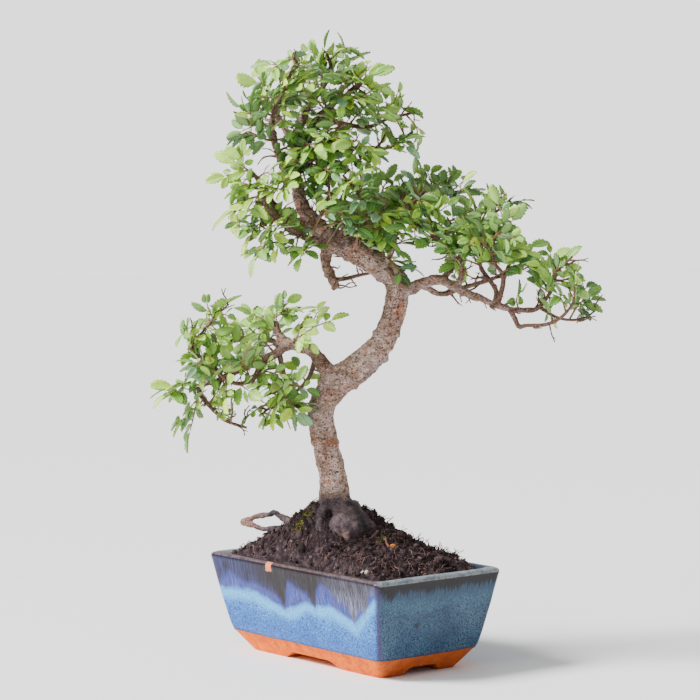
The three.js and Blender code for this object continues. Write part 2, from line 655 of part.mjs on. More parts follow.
// The leaves of a twig: a row on each side, set in turn, and one at the end.
function leavesFor(twig, random) {
  const leafy = twig.length - twig.bare - 7;
  const rows = THREE.MathUtils.clamp(Math.ceil(leafy / 10.5), 1, 3);
  const pitch = rows > 1 ? leafy / (rows - 0.5) : 12;
  const leaves = [];
  for (let i = 0; i < rows * 2; i++) {
    const side = i % 2 === 0 ? 1 : -1;
    const at = twig.bare + (i * pitch) / 2 + 0.8 * (random() - 0.5);
    const angle = 0.98 + 0.25 * (random() - 0.5);
    const length = THREE.MathUtils.lerp(LEAF_LENGTH[0], LEAF_LENGTH[1], random());
    const width = Math.min(length * LEAF_WIDTH_RATIO, Math.max(pitch, 9) * 0.84);
    const lift = 0.7 * (random() - 0.42);
    const roll = 0.7 * (random() - 0.5);
    leaves.push({ at, side, angle, length, width, lift, roll });
  }
  const length = THREE.MathUtils.lerp(LEAF_LENGTH[0], LEAF_LENGTH[1], random());
  const width = length * LEAF_WIDTH_RATIO;
  const lift = 0.3 * (random() - 0.5);
  leaves.push({ at: twig.length - 1, side: 0, angle: 0, length, width, lift, roll: 0 });
  return leaves;
}

// One way to grow a twig and its leaves, with those leaves left out that would touch anything.
function trySpray(start, tip, random, spread, obstacles) {
  const reach = start.point.distanceTo(tip);
  const sway = () => (random() - 0.5) * 2 * spread * reach;
  const middles = [0.35, 0.7].map((share) => {
    const middle = start.point.clone().lerp(tip, share);
    return middle.add(new THREE.Vector3(sway(), sway(), sway() + 0.05 * reach));
  });
  const curve = curveThrough([start.point, ...middles, tip]);
  const outward = new THREE.Vector3(tip.x, tip.y, 0).normalize().multiplyScalar(0.75);
  const face = new THREE.Vector3(random() - 0.5, random() - 0.5, 0.4 + 0.5 * random()).add(outward);
  const twig = { curve, face, length: curve.getLength() };
  twig.bare = twig.length > 24 ? 7 : 4;
  const steps = Math.max(3, Math.round(twig.length / 8));
  const stem = withBox(solidFrom(bentBar(curve, () => TWIG_HALF_WIDTH + GAP, 4, steps)));
  if (meets(stem.solid, obstacles)) return null;
  const leaves = [];
  const plates = [];
  for (const leaf of leavesFor(twig, random)) {
    const own = leafPlate(twig, leaf, 0.1);
    if (meets(own.solid, plates)) continue;
    if (meets(leafPlate(twig, leaf, GAP).solid, [...obstacles, woodBody, soilBody])) continue;
    plates.push(own);
    leaves.push(leaf);
  }
  if (leaves.length < 2) return null;
  const seated = sprayPlate(twig, leaves).subtract(woodRoom);
  const solid = largestBody(seated);
  if (solid.volume() < seated.volume() - LOOSE_SCRAP) return null;
  return { solid, leaves, plates: [stem, ...plates] };
}

// The leafiest of several ways to grow a spray.
function growSpray(limb, tip, taken, seed, obstacles) {
  let best = null;
  for (let attempt = 0; attempt < SPRAY_TRIES; attempt++) {
    const start = springingPoint(limb, tip, taken, TWIG_LENGTH - 2 * attempt);
    const random = randomFrom(seed * 100 + attempt);
    const spray = trySpray(start, tip, random, 0.06 + attempt * 0.01, obstacles);
    if (spray && (!best || spray.leaves.length > best.leaves.length)) best = { ...spray, start };
  }
  if (best) taken.push(best.start.point);
  return best;
}

const wood = largestBody(woodSolid(0));
const woodRoom = woodSolid(GAP);
const soil = soilSolid(woodSolid(GAP * 1.2));
const woodBody = withBox(woodRoom);
const soilBody = withBox(soil);

const sprays = [];
let seed = 11;
for (const [name, tips] of Object.entries(SPRAYS)) {
  const taken = [];
  tips.forEach((place, order) => {
    seed += 1;
    const obstacles = sprays.flatMap((spray) => spray.plates);
    const tip = inTreeFrame(place);
    const spray = growSpray(limbs[name], tip, taken, seed, obstacles);
    if (!spray) throw new Error("no clear way for spray " + name + " " + (order + 1));
    sprays.push({ ...spray, name: `spray_${name}_${order + 1}` });
  });
}

const planting = new THREE.Group();

function addPiece(name, solid, finish) {
  const mesh = new THREE.Mesh(geometryFrom(solid), finish.clone());
  mesh.name = name;
  planting.add(mesh);
}

addPiece("pot", pot, finishes.pot);
addPiece("drain_screen_left", drainScreen(drainPlaces[0]), finishes.screen);
addPiece("drain_screen_right", drainScreen(drainPlaces[1]), finishes.screen);
addPiece("soil", soil, finishes.soil);
addPiece("wood", wood, finishes.bark);
for (const { name, solid } of sprays) addPiece(name, solid, finishes.leaf);

// The origin is on the surface that the feet stand on, under the middle of pot and crown together.
planting.position.set(POT_PLACE.x, POT_PLACE.y, 0);
const bonsai = new THREE.Group();
bonsai.add(planting);

export default bonsai;
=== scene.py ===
import math
from itertools import islice

import bmesh
import bpy
import numpy as np
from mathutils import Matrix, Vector, noise


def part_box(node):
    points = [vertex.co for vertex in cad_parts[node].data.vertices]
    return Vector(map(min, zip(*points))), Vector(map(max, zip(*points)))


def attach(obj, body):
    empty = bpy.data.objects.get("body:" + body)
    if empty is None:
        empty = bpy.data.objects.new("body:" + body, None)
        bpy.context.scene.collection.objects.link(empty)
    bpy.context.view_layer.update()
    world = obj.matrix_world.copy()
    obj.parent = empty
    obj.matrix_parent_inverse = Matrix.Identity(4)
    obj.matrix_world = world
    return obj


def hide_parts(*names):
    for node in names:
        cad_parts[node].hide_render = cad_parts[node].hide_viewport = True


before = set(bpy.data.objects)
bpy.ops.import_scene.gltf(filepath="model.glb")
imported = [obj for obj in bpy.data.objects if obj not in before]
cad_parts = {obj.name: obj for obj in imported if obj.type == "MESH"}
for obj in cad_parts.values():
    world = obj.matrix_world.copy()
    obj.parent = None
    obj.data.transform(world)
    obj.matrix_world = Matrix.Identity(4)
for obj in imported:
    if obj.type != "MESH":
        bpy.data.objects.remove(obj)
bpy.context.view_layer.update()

MM = 0.001
POT_LOW, POT_HIGH = (np.array(corner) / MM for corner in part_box("pot"))
POT_MIDDLE = np.array([(POT_LOW[0] + POT_HIGH[0]) / 2, (POT_LOW[1] + POT_HIGH[1]) / 2, 0.0])
TREE_TURN = math.radians(50.5)
TURN_COS, TURN_SIN = math.cos(TREE_TURN), math.sin(TREE_TURN)
UP = np.array([0.0, 0.0, 1.0])


def put(name, data):
    piece = bpy.data.objects.new(name, data)
    bpy.context.scene.collection.objects.link(piece)
    return piece


# ------------------------------------------------------------------ camera

CAMERA_AZIMUTH = 50.47
CAMERA_ELEVATION = 4.15
CAMERA_DISTANCE = 2200
AIM_RIGHT = -2.2
AIM_HEIGHT = 254.6
LENS = 138.07
SENSOR_WIDTH = 36
FAR_CLIP = 20


def direction(azimuth, elevation):
    """The way from the tree to something at these angles, in degrees; 0, 0 is in front."""
    a, e = math.radians(azimuth), math.radians(elevation)
    return Vector((math.sin(a) * math.cos(e), -math.cos(a) * math.cos(e), math.sin(e)))


def put_facing(name, data, location, back):
    """A camera or lamp that looks along the reverse of back."""
    piece = put(name, data)
    piece.location = location
    piece.rotation_mode = "QUATERNION"
    piece.rotation_quaternion = (-back).to_track_quat("-Z", "Y")
    return piece


back = direction(CAMERA_AZIMUTH, CAMERA_ELEVATION)
right = direction(CAMERA_AZIMUTH + 90, 0)
aim = Vector(POT_MIDDLE) + right * AIM_RIGHT + Vector((0, 0, AIM_HEIGHT))
place = (aim + back * CAMERA_DISTANCE) * MM
camera = put_facing("camera", bpy.data.cameras.new("camera"), place, back)
camera.data.sensor_fit = "HORIZONTAL"
camera.data.sensor_width = SENSOR_WIDTH
camera.data.lens = LENS
camera.data.clip_end = FAR_CLIP
camera.data.dof.use_dof = False
bpy.context.scene.camera = camera


# ------------------------------------------------------------------ geometry helpers

def random_from(seed):
    """The seeded generator that the part's source uses."""
    state = [seed & 0xFFFFFFFF]

    def draw():
        state[0] = (state[0] + 0x6D2B79F5) & 0xFFFFFFFF
        t = state[0]
        t = ((t ^ (t >> 15)) * (t | 1)) & 0xFFFFFFFF
        t ^= (t + (t ^ (t >> 7)) * (t | 61)) & 0xFFFFFFFF
        return ((t ^ (t >> 14)) & 0xFFFFFFFF) / 4294967296

    return draw


def unit(v):
    return v / np.linalg.norm(v)


def in_tree_frame(p):
    """A point [u, v, z] of the plane of the photo, turned into the part's frame."""
    u, v, z = p[:3]
    return np.array([u * TURN_COS - v * TURN_SIN, u * TURN_SIN + v * TURN_COS, z])


def lerp(a, b, t):
    return a + (b - a) * t


class Curve:
    """A uniform Catmull-Rom curve through points, measured along its length."""

    PARAMETERS = np.linspace(0, 1, 201)

    def __init__(self, points):
        self.points = np.array(points, float)
        gaps = np.linalg.norm(np.diff(self.at_parameter(self.PARAMETERS), axis=0), axis=1)
        self.lengths = np.concatenate([[0], np.cumsum(gaps)])
        self.length = self.lengths[-1]

    def at_parameter(self, t):
        points = self.points
        last = len(points) - 1
        place = np.atleast_1d(t) * last
        index = np.minimum(np.floor(place).astype(int), last - 1)
        w = (place - index)[:, None]
        extended = np.vstack([2 * points[0] - points[1], points, 2 * points[-1] - points[-2]])
        p0, p1, p2, p3 = (extended[index + k] for k in range(4))
        t0, t1 = (p2 - p0) / 2, (p3 - p1) / 2
        return (
            p1 + t0 * w + (-3 * p1 + 3 * p2 - 2 * t0 - t1) * w ** 2
            + (2 * p1 - 2 * p2 + t0 + t1) * w ** 3
        )

    def parameter(self, share):
        return np.interp(np.atleast_1d(share) * self.length, self.lengths, self.PARAMETERS)

    def at(self, share):
        return self.at_parameter(self.parameter(share))

    def tangent(self, share):
        t = self.parameter(share)
        low, high = np.clip(t - 0.0001, 0, 1), np.clip(t + 0.0001, 0, 1)
        d = self.at_parameter(high) - self.at_parameter(low)
        return d / np.linalg.norm(d, axis=1)[:, None]


class Builder:
    """Collects vertices, faces and named values, and makes one mesh of them.

    A value is one number for all the vertices, or a row for each; a single row goes for all."""

    def __init__(self):
        self.vertices, self.faces, self.count = [], [], 0
        self.values = {}

    def add(self, vertices, faces, **values):
        vertices = np.asarray(vertices, float)
        self.vertices.append(vertices)
        for face_set in faces if isinstance(faces, list) else [faces]:
            self.faces.append(np.asarray(face_set) + self.count)
        self.count += len(vertices)
        for name, value in values.items():
            shape = (len(vertices), *np.shape(value)[1:])
            self.values.setdefault(name, []).append(np.broadcast_to(value, shape).astype(float))

    def piece(self, name, smooth=True):
        mesh = bpy.data.meshes.new(name)
        vertices = np.vstack(self.vertices) * MM
        loops = np.concatenate([f.ravel() for f in self.faces])
        sizes = np.concatenate([np.full(len(f), f.shape[1]) for f in self.faces])
        starts = np.concatenate([[0], np.cumsum(sizes)[:-1]])
        mesh.vertices.add(len(vertices))
        mesh.vertices.foreach_set("co", vertices.ravel())
        mesh.loops.add(len(loops))
        mesh.loops.foreach_set("vertex_index", loops.astype(np.int32))
        mesh.polygons.add(len(sizes))
        mesh.polygons.foreach_set("loop_start", starts.astype(np.int32))
        mesh.polygons.foreach_set("use_smooth", np.full(len(sizes), smooth))
        mesh.update(calc_edges=True)
        for key, parts in self.values.items():
            value = np.concatenate(parts)
            if value.ndim == 2 and value.shape[1] == 2:
                layer = mesh.uv_layers.new(name=key)
                layer.data.foreach_set("uv", value[loops].ravel())
            elif value.ndim == 2:
                layer = mesh.color_attributes.new(key, "FLOAT_COLOR", "POINT")
                color = np.ones((len(value), 4))
                color[:, :3] = value
                layer.data.foreach_set("color", color.ravel())
            else:
                layer = mesh.attributes.new(key, "FLOAT", "POINT")
                layer.data.foreach_set("value", value.ravel())
        mesh.validate()
        return put(name, mesh)


def ring_faces(rings, around):
    """Quads between closed rings of points, and triangles from the first and last ring to the
    two points that follow the rings."""
    i = np.arange(rings - 1)[:, None] * around
    j = np.arange(around)
    k = (j + 1) % around
    quads = np.stack([i + j, i + k, i + around + k, i + around + j], -1).reshape(-1, 4)
    last, middle = (rings - 1) * around, np.full(around, rings * around)
    low = np.stack([k, j, middle], -1)
    high = np.stack([last + j, last + k, middle + 1], -1)
    return [quads, np.vstack([low, high])]


def ring_axes(points):
    """Directions across a path that turn with it and don't twist."""
    tangents = np.gradient(points, axis=0)
    tangents /= np.linalg.norm(tangents, axis=1)[:, None]
    start = np.array([1.0, 0, 0]) if abs(tangents[0][0]) < 0.8 else np.array([0, 1.0, 0])
    normals = [unit(np.cross(tangents[0], start))]
    for t in tangents[1:]:
        normals.append(unit(normals[-1] - t * np.dot(normals[-1], t)))
    normals = np.array(normals)
    return normals, np.cross(tangents, normals)


def tube(points, radii, sides):
    """A round bar along points, with a point at each end."""
    points, radii = np.asarray(points, float), np.asarray(radii, float)
    n, b = ring_axes(points)
    angle = np.linspace(0, 2 * math.pi, sides, endpoint=False)
    out = n[:, None] * np.cos(angle)[None, :, None] + b[:, None] * np.sin(angle)[None, :, None]
    rings = points[:, None] + out * (radii[:, None, None] if radii.ndim == 1 else radii[..., None])
    vertices = np.vstack([rings.reshape(-1, 3), points[:1], points[-1:]])
    return vertices, ring_faces(len(points), sides)


def tapered(curve, rings, first, last, sides):
    """A round bar along a curve, from one radius to another."""
    share = np.linspace(0, 1, rings)
    return tube(curve.at(share), lerp(first, last, share), sides)


# ------------------------------------------------------------------ material helpers

class Value:
    """A node's output. Arithmetic on it makes further nodes."""

    def __init__(self, nodes, socket):
        self.nodes, self.socket = nodes, socket

    def __abs__(self):
        return self.nodes.math("ABSOLUTE", self)

    def __add__(self, other):
        return self.nodes.math("ADD", self, other)

    def __sub__(self, other):
        return self.nodes.math("SUBTRACT", self, other)

    def __rsub__(self, other):
        return self.nodes.math("SUBTRACT", other, self)

    def __mul__(self, other):
        return self.nodes.math("MULTIPLY", self, other)

    def __truediv__(self, other):
        return self.nodes.math("DIVIDE", self, other)

    def __gt__(self, other):
        return self.nodes.math("GREATER_THAN", self, other)

    def __lt__(self, other):
        return self.nodes.math("LESS_THAN", self, other)


def rgba(*color):
    """An 8-bit display colour as linear light."""
    light = (c / 255 / 12.92 if c <= 10 else ((c / 255 + 0.055) / 1.055) ** 2.4 for c in color)
    return (*light, 1)


class Nodes:
    """Short ways to make a material's nodes."""

    def __init__(self, name):
        self.material = bpy.data.materials.new(name)
        self.material.use_nodes = True
        self.tree = self.material.node_tree
        self.shader = self.tree.nodes["Principled BSDF"]

    def set(self, socket, value):
        if isinstance(value, Value):
            self.tree.links.new(value.socket, socket)
        else:
            socket.default_value = value

    def node(self, kind, inputs, **settings):
        node = self.tree.nodes.new("ShaderNode" + kind)
        for key, value in settings.items():
            setattr(node, key, value)
        for key, value in inputs.items():
            self.set(node.inputs[key], value)
        return node

    def new(self, kind, inputs, output=0, **settings):
        return Value(self, self.node(kind, inputs, **settings).outputs[output])

    def split(self, kind, value):
        """The three parts of a vector (kind XYZ) or a colour (kind Color)."""
        return [Value(self, socket) for socket in self.node("Separate" + kind, {0: value}).outputs]

    def position(self):
        return self.new("TexCoord", {}, "Object")

    def attribute(self, name, output="Fac"):
        return self.new("Attribute", {}, output, attribute_name=name)

    def math(self, operation, *values):
        return self.new("Math", dict(enumerate(values)), operation=operation)

    def mix(self, factor, a, b):
        return self.new("Mix", {0: factor, 6: a, 7: b}, 2, data_type="RGBA")

    def mix_value(self, factor, a, b):
        return self.new("Mix", {0: factor, 2: a, 3: b}, data_type="FLOAT")

    def combine(self, x, y, z):
        return self.new("CombineXYZ", {0: x, 1: y, 2: z})

    def distance(self, a, b):
        return self.new("VectorMath", {0: a, 1: b}, "Value", operation="DISTANCE")

    def squeezed(self, position, times):
        """A position for a texture that repeats faster up the part than round it."""
        return self.new("Mapping", {"Vector": position, "Scale": (1, 1, times)})

    def noise(self, vector, scale, detail=4, roughness=0.5):
        inputs = {"Vector": vector, "Scale": scale, "Detail": detail, "Roughness": roughness}
        return self.new("TexNoise", inputs, "Fac")

    def voronoi(self, vector, scale, output="Distance"):
        return self.new("TexVoronoi", {"Vector": vector, "Scale": scale}, output)

    def step(self, value, low, high):
        """0 below low and 1 above high, or the other way round when low is over high."""
        inputs = {"Value": value, "From Min": low, "From Max": high}
        return self.new("MapRange", inputs, interpolation_type="SMOOTHSTEP")

    def ramp(self, value, *stops):
        """A colour ramp through stops (place, red, green, blue)."""
        node = self.node("ValToRGB", {"Fac": value})
        elements = node.color_ramp.elements
        while len(elements) < len(stops):
            elements.new(0.5)
        for element, (place, *color) in zip(elements, stops):
            element.position = place
            element.color = rgba(*color)
        return Value(self, node.outputs[0])

    def curve(self, value, points):
        """Straight lines through points (value, result)."""
        node = self.node("FloatCurve", {"Value": value})
        curve = node.mapping.curves[0]
        while len(curve.points) < len(points):
            curve.points.new(0.5, 0.5)
        for point, place in zip(curve.points, points):
            point.location = place
            point.handle_type = "VECTOR"
        node.mapping.update()
        return Value(self, node.outputs[0])

    def bump(self, height, strength, distance):
        return self.new("Bump", {"Height": height, "Strength": strength, "Distance": distance})

    def finish(self, **values):
        for key, value in values.items():
            self.set(self.shader.inputs[key.replace("_", " ")], value)
        return self.material


# ------------------------------------------------------------------ limbs, as in the part's source

LIMBS = {
    "trunk": [
        [-12, 0, 76, 13.5], [-14, 0, 114, 15.6], [-15, 0, 132, 13.5], [-16, 0, 149, 11.5],
        [-22, 0, 175, 10.9], [-26, -1, 197, 10.9], [-24, -2, 212, 11.1], [-12, -2, 228, 12.3],
        [4, -1, 240, 12.3], [23, 0, 259, 10.4], [32, 2, 279, 9.6], [36, 3, 297, 9.8],
        [35, 4, 312, 10.2], [23, 5, 322, 10.2], [2, 5, 335, 10.1], [-19, 4, 346, 9.4],
        [-32, 3, 359, 7.4], [-41, 3, 372, 6.1], [-45, 4, 387, 5.3], [-47, 5, 406, 4.7],
        [-46, 6, 424, 4.3], [-43, 6, 441, 3.8]],
    "apex_right": [
        [-46, 5, 406, 4.1], [-36, 2, 426, 3.7], [-25, -2, 446, 3.4], [-12, -6, 459, 3.1],
        [-1, -9, 465, 2.5], [11, -12, 476, 1.6]],
    "apex_left": [
        [-44, 4, 385, 4.5], [-55, -2, 402, 3.7], [-64, -6, 426, 3], [-65, -9, 444, 2.5],
        [-56, -14, 467, 1.8], [-45, -18, 489, 1.2]],
    "apex_top": [
        [-43, 6, 437, 3.6], [-35, 14, 456, 2.8], [-24, 20, 470, 2.1], [-18, 20, 484, 1.6],
        [-21, 20, 497, 1.2]],
    "apex_back": [[-46, 6, 418, 3.9], [-57, 22, 438, 3], [-68, 38, 453, 2.3], [-75, 48, 468, 1.6]],
    "crown_left": [
        [-33, 0, 359, 5.3], [-51, -10, 360, 4.1], [-65, -18, 374, 3.3], [-73, -24, 390, 2.5],
        [-81, -30, 400, 1.6]],
    "low_left": [
        [-6, 2, 336, 5.3], [-22, -12, 340, 4.5], [-39, -24, 348, 3.3], [-55, -32, 357, 2.7],
        [-66, -38, 368, 2], [-73, -42, 381, 1.5]],
    "stub": [
        [-19, 2, 343, 4.9], [-22, -2, 327, 4.6], [-18, -4, 316, 4.3], [-13, -5, 305, 3.6],
        [-11, -5, 302, 1.4]],
    "stub_side": [[-17, -3, 312, 2.5], [-5, 6, 313, 1.8], [4, 14, 315, 1.5], [16, 22, 317, 1.1]],
    "crown_back": [
        [23, 6, 321, 8.2], [18, 20, 336, 7], [15, 32, 350, 6.1], [13, 46, 365, 4.5],
        [8, 58, 380, 3.3]],
    "crown_back_right": [
        [15, 30, 347, 5.3], [29, 42, 358, 4.1], [46, 52, 370, 3.3], [67, 60, 378, 2.5],
        [87, 66, 383, 1.6]],
    "spur": [
        [-25, -1, 444, 3], [-6, 4, 439, 2.1], [13, 8, 437, 1.6], [30, 10, 444, 1.4],
        [48, 12, 448, 1]],
    "spur_low": [
        [-44, 5, 418, 3.3], [-18, -4, 418, 2.5], [12, -10, 420, 1.6], [29, -12, 420, 1.5],
        [49, -14, 433, 1]],
    "right": [
        [36, 1, 304, 7.4], [48, -8, 306, 5.3], [58, -14, 311, 4.5], [72, -20, 313, 4.1],
        [81, -24, 308, 3.8], [93, -27, 302, 3.4], [105, -29, 298, 3.1], [114, -30, 294, 2.9],
        [126, -30, 290, 2.5], [141, -30, 289, 2.1], [150, -28, 291, 1.9], [161, -24, 305, 1.5],
        [166, -22, 320, 1.3], [178, -20, 332, 0.9]],
    "right_low": [
        [127, -30, 289, 2.1], [131, -32, 282, 2.1], [134, -34, 276, 2], [140, -36, 277, 1.7],
        [155, -40, 278, 1.6], [166, -42, 283, 1.4], [174, -42, 291, 1.2], [178, -42, 299, 0.9]],
    "right_tip": [
        [151, -28, 291, 1.6], [165, -22, 283, 1.2], [178, -14, 280, 1.1], [190, -8, 282, 0.9],
        [201, -2, 289, 0.7]],
    "right_up_far": [
        [114, -30, 294, 2.1], [116, -26, 304, 2], [110, -22, 314, 1.9], [104, -18, 323, 1.7],
        [104, -12, 335, 1.6], [104, -6, 349, 1.3]],
    "right_up_near": [
        [117, -30, 294, 2.3], [121, -34, 310, 2], [120, -36, 319, 1.7], [113, -40, 329, 1.4],
        [111, -44, 342, 1.1]],
    "right_up_end": [[121, -34, 310, 1.6], [125, -26, 323, 1.3], [136, -18, 337, 0.9]],
    "right_mid": [
        [84, -24, 307, 3.1], [88, -28, 321, 2.5], [81, -32, 331, 2.3], [69, -36, 343, 2],
        [65, -38, 348, 1.9], [60, -40, 357, 1.6]],
    "right_back": [
        [72, -19, 312, 3.3], [81, -2, 322, 2.8], [93, 14, 334, 2.4], [102, 28, 345, 2],
        [115, 40, 363, 1.6], [127, 46, 372, 1.1]],
    "right_back_low": [
        [56, -12, 309, 3], [72, 8, 300, 2.5], [89, 22, 304, 2.1], [112, 34, 310, 1.8],
        [135, 42, 318, 1.3]],
    "inner_top": [
        [-46, 4, 398, 3], [-34, -12, 410, 2.2], [-20, -22, 424, 1.7], [-8, -26, 440, 1.2]],
    "inner_front": [
        [0, 0, 336, 3.4], [6, -16, 350, 2.6], [10, -28, 366, 2], [4, -36, 384, 1.5],
        [-8, -40, 398, 1]],
    "inner_right": [
        [26, 0, 320, 3.4], [32, -16, 338, 2.6], [36, -26, 356, 2], [46, -32, 372, 1.5],
        [58, -34, 386, 1]],
    "loop": [[27, -1, 322, 2.2], [31, -15, 319, 2.1], [35, -19, 311, 2.3], [46, -11, 306, 2.5]],
    "left": [
        [-12, -2, 228, 9], [-20, -3, 237, 7], [-25, -4, 243, 6], [-32, -5, 253, 5.1],
        [-42, -8, 257, 4.6], [-52, -11, 259, 4.3], [-64, -14, 252, 3.9], [-76, -16, 245, 3.4],
        [-84, -17, 244, 3.2], [-100, -18, 236, 2.9], [-109, -18, 231, 2.6], [-119, -17, 228, 2.5],
        [-125, -16, 224, 2.3], [-123, -17, 218, 2], [-118, -18, 212, 1.9], [-111, -20, 205, 1.7],
        [-102, -22, 198, 1.5], [-86, -24, 193, 1.1]],
    "left_stub": [
        [-51, -10, 258, 4.1], [-58, -4, 264, 3.8], [-62, 0, 271, 3.5], [-64, 2, 278, 3],
        [-65, 2, 281, 1.2]],
    "left_up": [
        [-106, -18, 232, 2], [-117, -24, 248, 1.8], [-132, -28, 255, 1.5], [-123, -30, 269, 1.2],
        [-112, -30, 283, 1], [-100, -30, 294, 0.7]],
    "left_back": [
        [-52, -10, 258, 3.4], [-68, 8, 262, 2.8], [-85, 22, 263, 2.3], [-102, 34, 259, 1.8],
        [-117, 42, 255, 1.3]],
    "left_front": [
        [-74, -16, 246, 2.6], [-80, -28, 234, 2.3], [-91, -36, 230, 1.8], [-102, -42, 233, 1.3]],
    "left_under": [
        [-60, -12, 254, 2.3], [-57, -17, 240, 1.9], [-53, -20, 226, 1.6], [-58, -24, 216, 1.4],
        [-68, -27, 209, 1.1], [-76, -28, 203, 0.7]],
    "left_under_back": [
        [-30, -4, 250, 2.2], [-36, 14, 231, 1.8], [-46, 26, 219, 1.5], [-57, 34, 212, 1.2],
        [-69, 40, 217, 0.9]],
}

ROOTS = {
    "lobe": [[-20, -8, 132, 5], [-25, -15, 124, 4.6], [-27, -20, 112, 4.3], [-28, -23, 100, 3.4]],
    "lobe_right": [[-6, -4, 124, 7], [8, -12, 116, 6], [20, -16, 103, 5], [30, -18, 90, 4]],
    "fork_top": [
        [-28, 0, 112, 5], [-52, 14, 112, 3.4], [-65, 24, 117, 2.9], [-69, 27, 115, 2.7],
        [-82, 36, 112, 2.6], [-94, 44, 106, 2.4]],
    "fork_low": [
        [-28, -2, 104, 5], [-51, 12, 105, 3.6], [-65, 22, 104, 3], [-76, 30, 103, 2.6],
        [-84, 36, 105, 2.3], [-93, 43, 105, 2.3]],
    "down_left": [[-18, 4, 112, 7], [-34, 14, 92, 5], [-48, 22, 66, 3], [-52, 24, 40, 2]],
    "down_right": [[-4, 2, 108, 7], [14, -2, 88, 5], [34, -8, 66, 3], [44, -12, 40, 2]],
    "down_back": [[-12, 6, 112, 7], [-8, 20, 90, 5], [-2, 30, 62, 3], [0, 34, 38, 2]],
    "down_front": [[-10, -6, 104, 7], [-8, -20, 86, 5], [-4, -30, 60, 3], [-2, -34, 38, 2]],
}

SWELLINGS = [
    [-3.5, -15, 109, 18.4, 0.95], [-4, -8, 122, 12.5, 0.9], [-23, -8, 118, 9, 1],
    [35, -3, 268, 4.6, 0.9], [24.5, -4, 248.5, 5.6, 0.9], [2, -1, 224.5, 3.4, 0.9],
    [-33, -6, 204, 4.5, 0.9], [32, -6, 320, 6, 0.8], [-24, -4, 352, 6, 0.8],
    [-49, 0, 396, 4.6, 0.9],
]

SPRAYS = {
    "apex_top": [[-23, 18, 500], [-42, 30, 488], [-2, 28, 490]],
    "apex_right": [[17, -8, 478], [11, -26, 460], [-12, -36, 466]],
    "apex_left": [[-65, -12, 487], [-44, -42, 469], [-90, -8, 452], [-89, -26, 428]],
    "apex_back": [[-79, 48, 479], [-47, 62, 463]],
    "crown_left": [[-94, -30, 408], [-90, -42, 389], [-53, -48, 388]],
    "low_left": [[-100, -38, 367], [-83, -28, 347], [-78, -52, 330], [-42, -46, 332]],
    "spur": [[44, 20, 452]],
    "spur_low": [[42, -20, 426], [-1, -42, 424]],
    "trunk": [[-29, -42, 421]],
    "crown_back": [[-1, 74, 388], [29, 46, 393]],
    "crown_back_right": [[60, 56, 390], [99, 74, 383]],
    "right_back": [[127, 30, 372], [124, 62, 353]],
    "right_up_far": [[98, -14, 373], [126, 8, 346]],
    "right_up_near": [[127, -46, 361], [93, -58, 353]],
    "right_up_end": [[144, -12, 339]],
    "right": [[174, -15, 328]],
    "right_low": [[178, -52, 311]],
    "right_tip": [[194, -2, 296]],
    "right_back_low": [[152, 54, 320]],
    "right_mid": [[64, -34, 373], [44, -52, 356], [74, -58, 339]],
    "left_stub": [[-45, -3, 287], [-74, 10, 282]],
    "left": [[-18, -24, 280], [-152, -12, 224], [-132, -26, 191]],
    "left_up": [[-106, -28, 291], [-133, -36, 273]],
    "left_front": [[-127, -48, 248], [-90, -54, 254]],
    "left_back": [[-118, 48, 263], [-84, 40, 273]],
    "left_under": [[-68, -38, 206], [-45, -12, 205]],
    "left_under_back": [[-73, 50, 221]],
}


# Fine branchlets inside the crown, which only carry leaves.
BRANCHLETS = {
    "inner_mid": [
        [-30, -2, 357, 1.9], [-23, -16, 372, 1.5], [-19, -27, 388, 1.2], [-24, -34, 405, 0.8]],
    "inner_low": [
        [-14, 0, 345, 1.9], [-8, -18, 356, 1.5], [-14, -32, 366, 1.1], [-26, -40, 374, 0.8]],
    "inner_wide": [
        [12, 2, 330, 1.9], [20, -14, 348, 1.5], [22, -30, 364, 1.2], [28, -40, 378, 0.8]],
    "inner_fill": [
        [33, 22, 350, 1.7], [40, 8, 364, 1.4], [48, -4, 374, 1.1], [60, -10, 380, 0.8]],
    "inner_gap": [
        [-46, 4, 399, 1.7], [-39, -8, 402, 1.4], [-33, -18, 408, 1.1], [-27, -26, 417, 0.8]],
    "inner_end": [
        [84, 0, 323, 1.6], [88, -8, 338, 1.3], [84, -16, 352, 1], [76, -20, 364, 0.8]],
}


class Limb:
    def __init__(self, points):
        self.curve = Curve([in_tree_frame(p) for p in points])
        self.radii = np.array([p[3] for p in points], float)

    def radius(self, share):
        place = self.curve.parameter(share) * (len(self.radii) - 1)
        return np.interp(place, np.arange(len(self.radii)), self.radii)


limbs = {name: Limb(points) for name, points in LIMBS.items()}
roots = {name: Limb(points) for name, points in ROOTS.items()}
branchlets = {name: Limb(points) for name, points in BRANCHLETS.items()}


# ------------------------------------------------------------------ wood

THICK_ENOUGH = 2.1
WOOD_VOXEL = 1.14


def ball(detail, radius=1):
    made = bmesh.new()
    bmesh.ops.create_icosphere(made, subdivisions=detail, radius=radius)
    vertices = np.array([v.co[:] for v in made.verts])
    faces = np.array([[v.index for v in f.verts] for f in made.faces])
    made.free()
    return vertices, faces


def evaluated_mesh(piece):
    graph = bpy.context.evaluated_depsgraph_get()
    return bpy.data.meshes.new_from_object(piece.evaluated_get(graph))


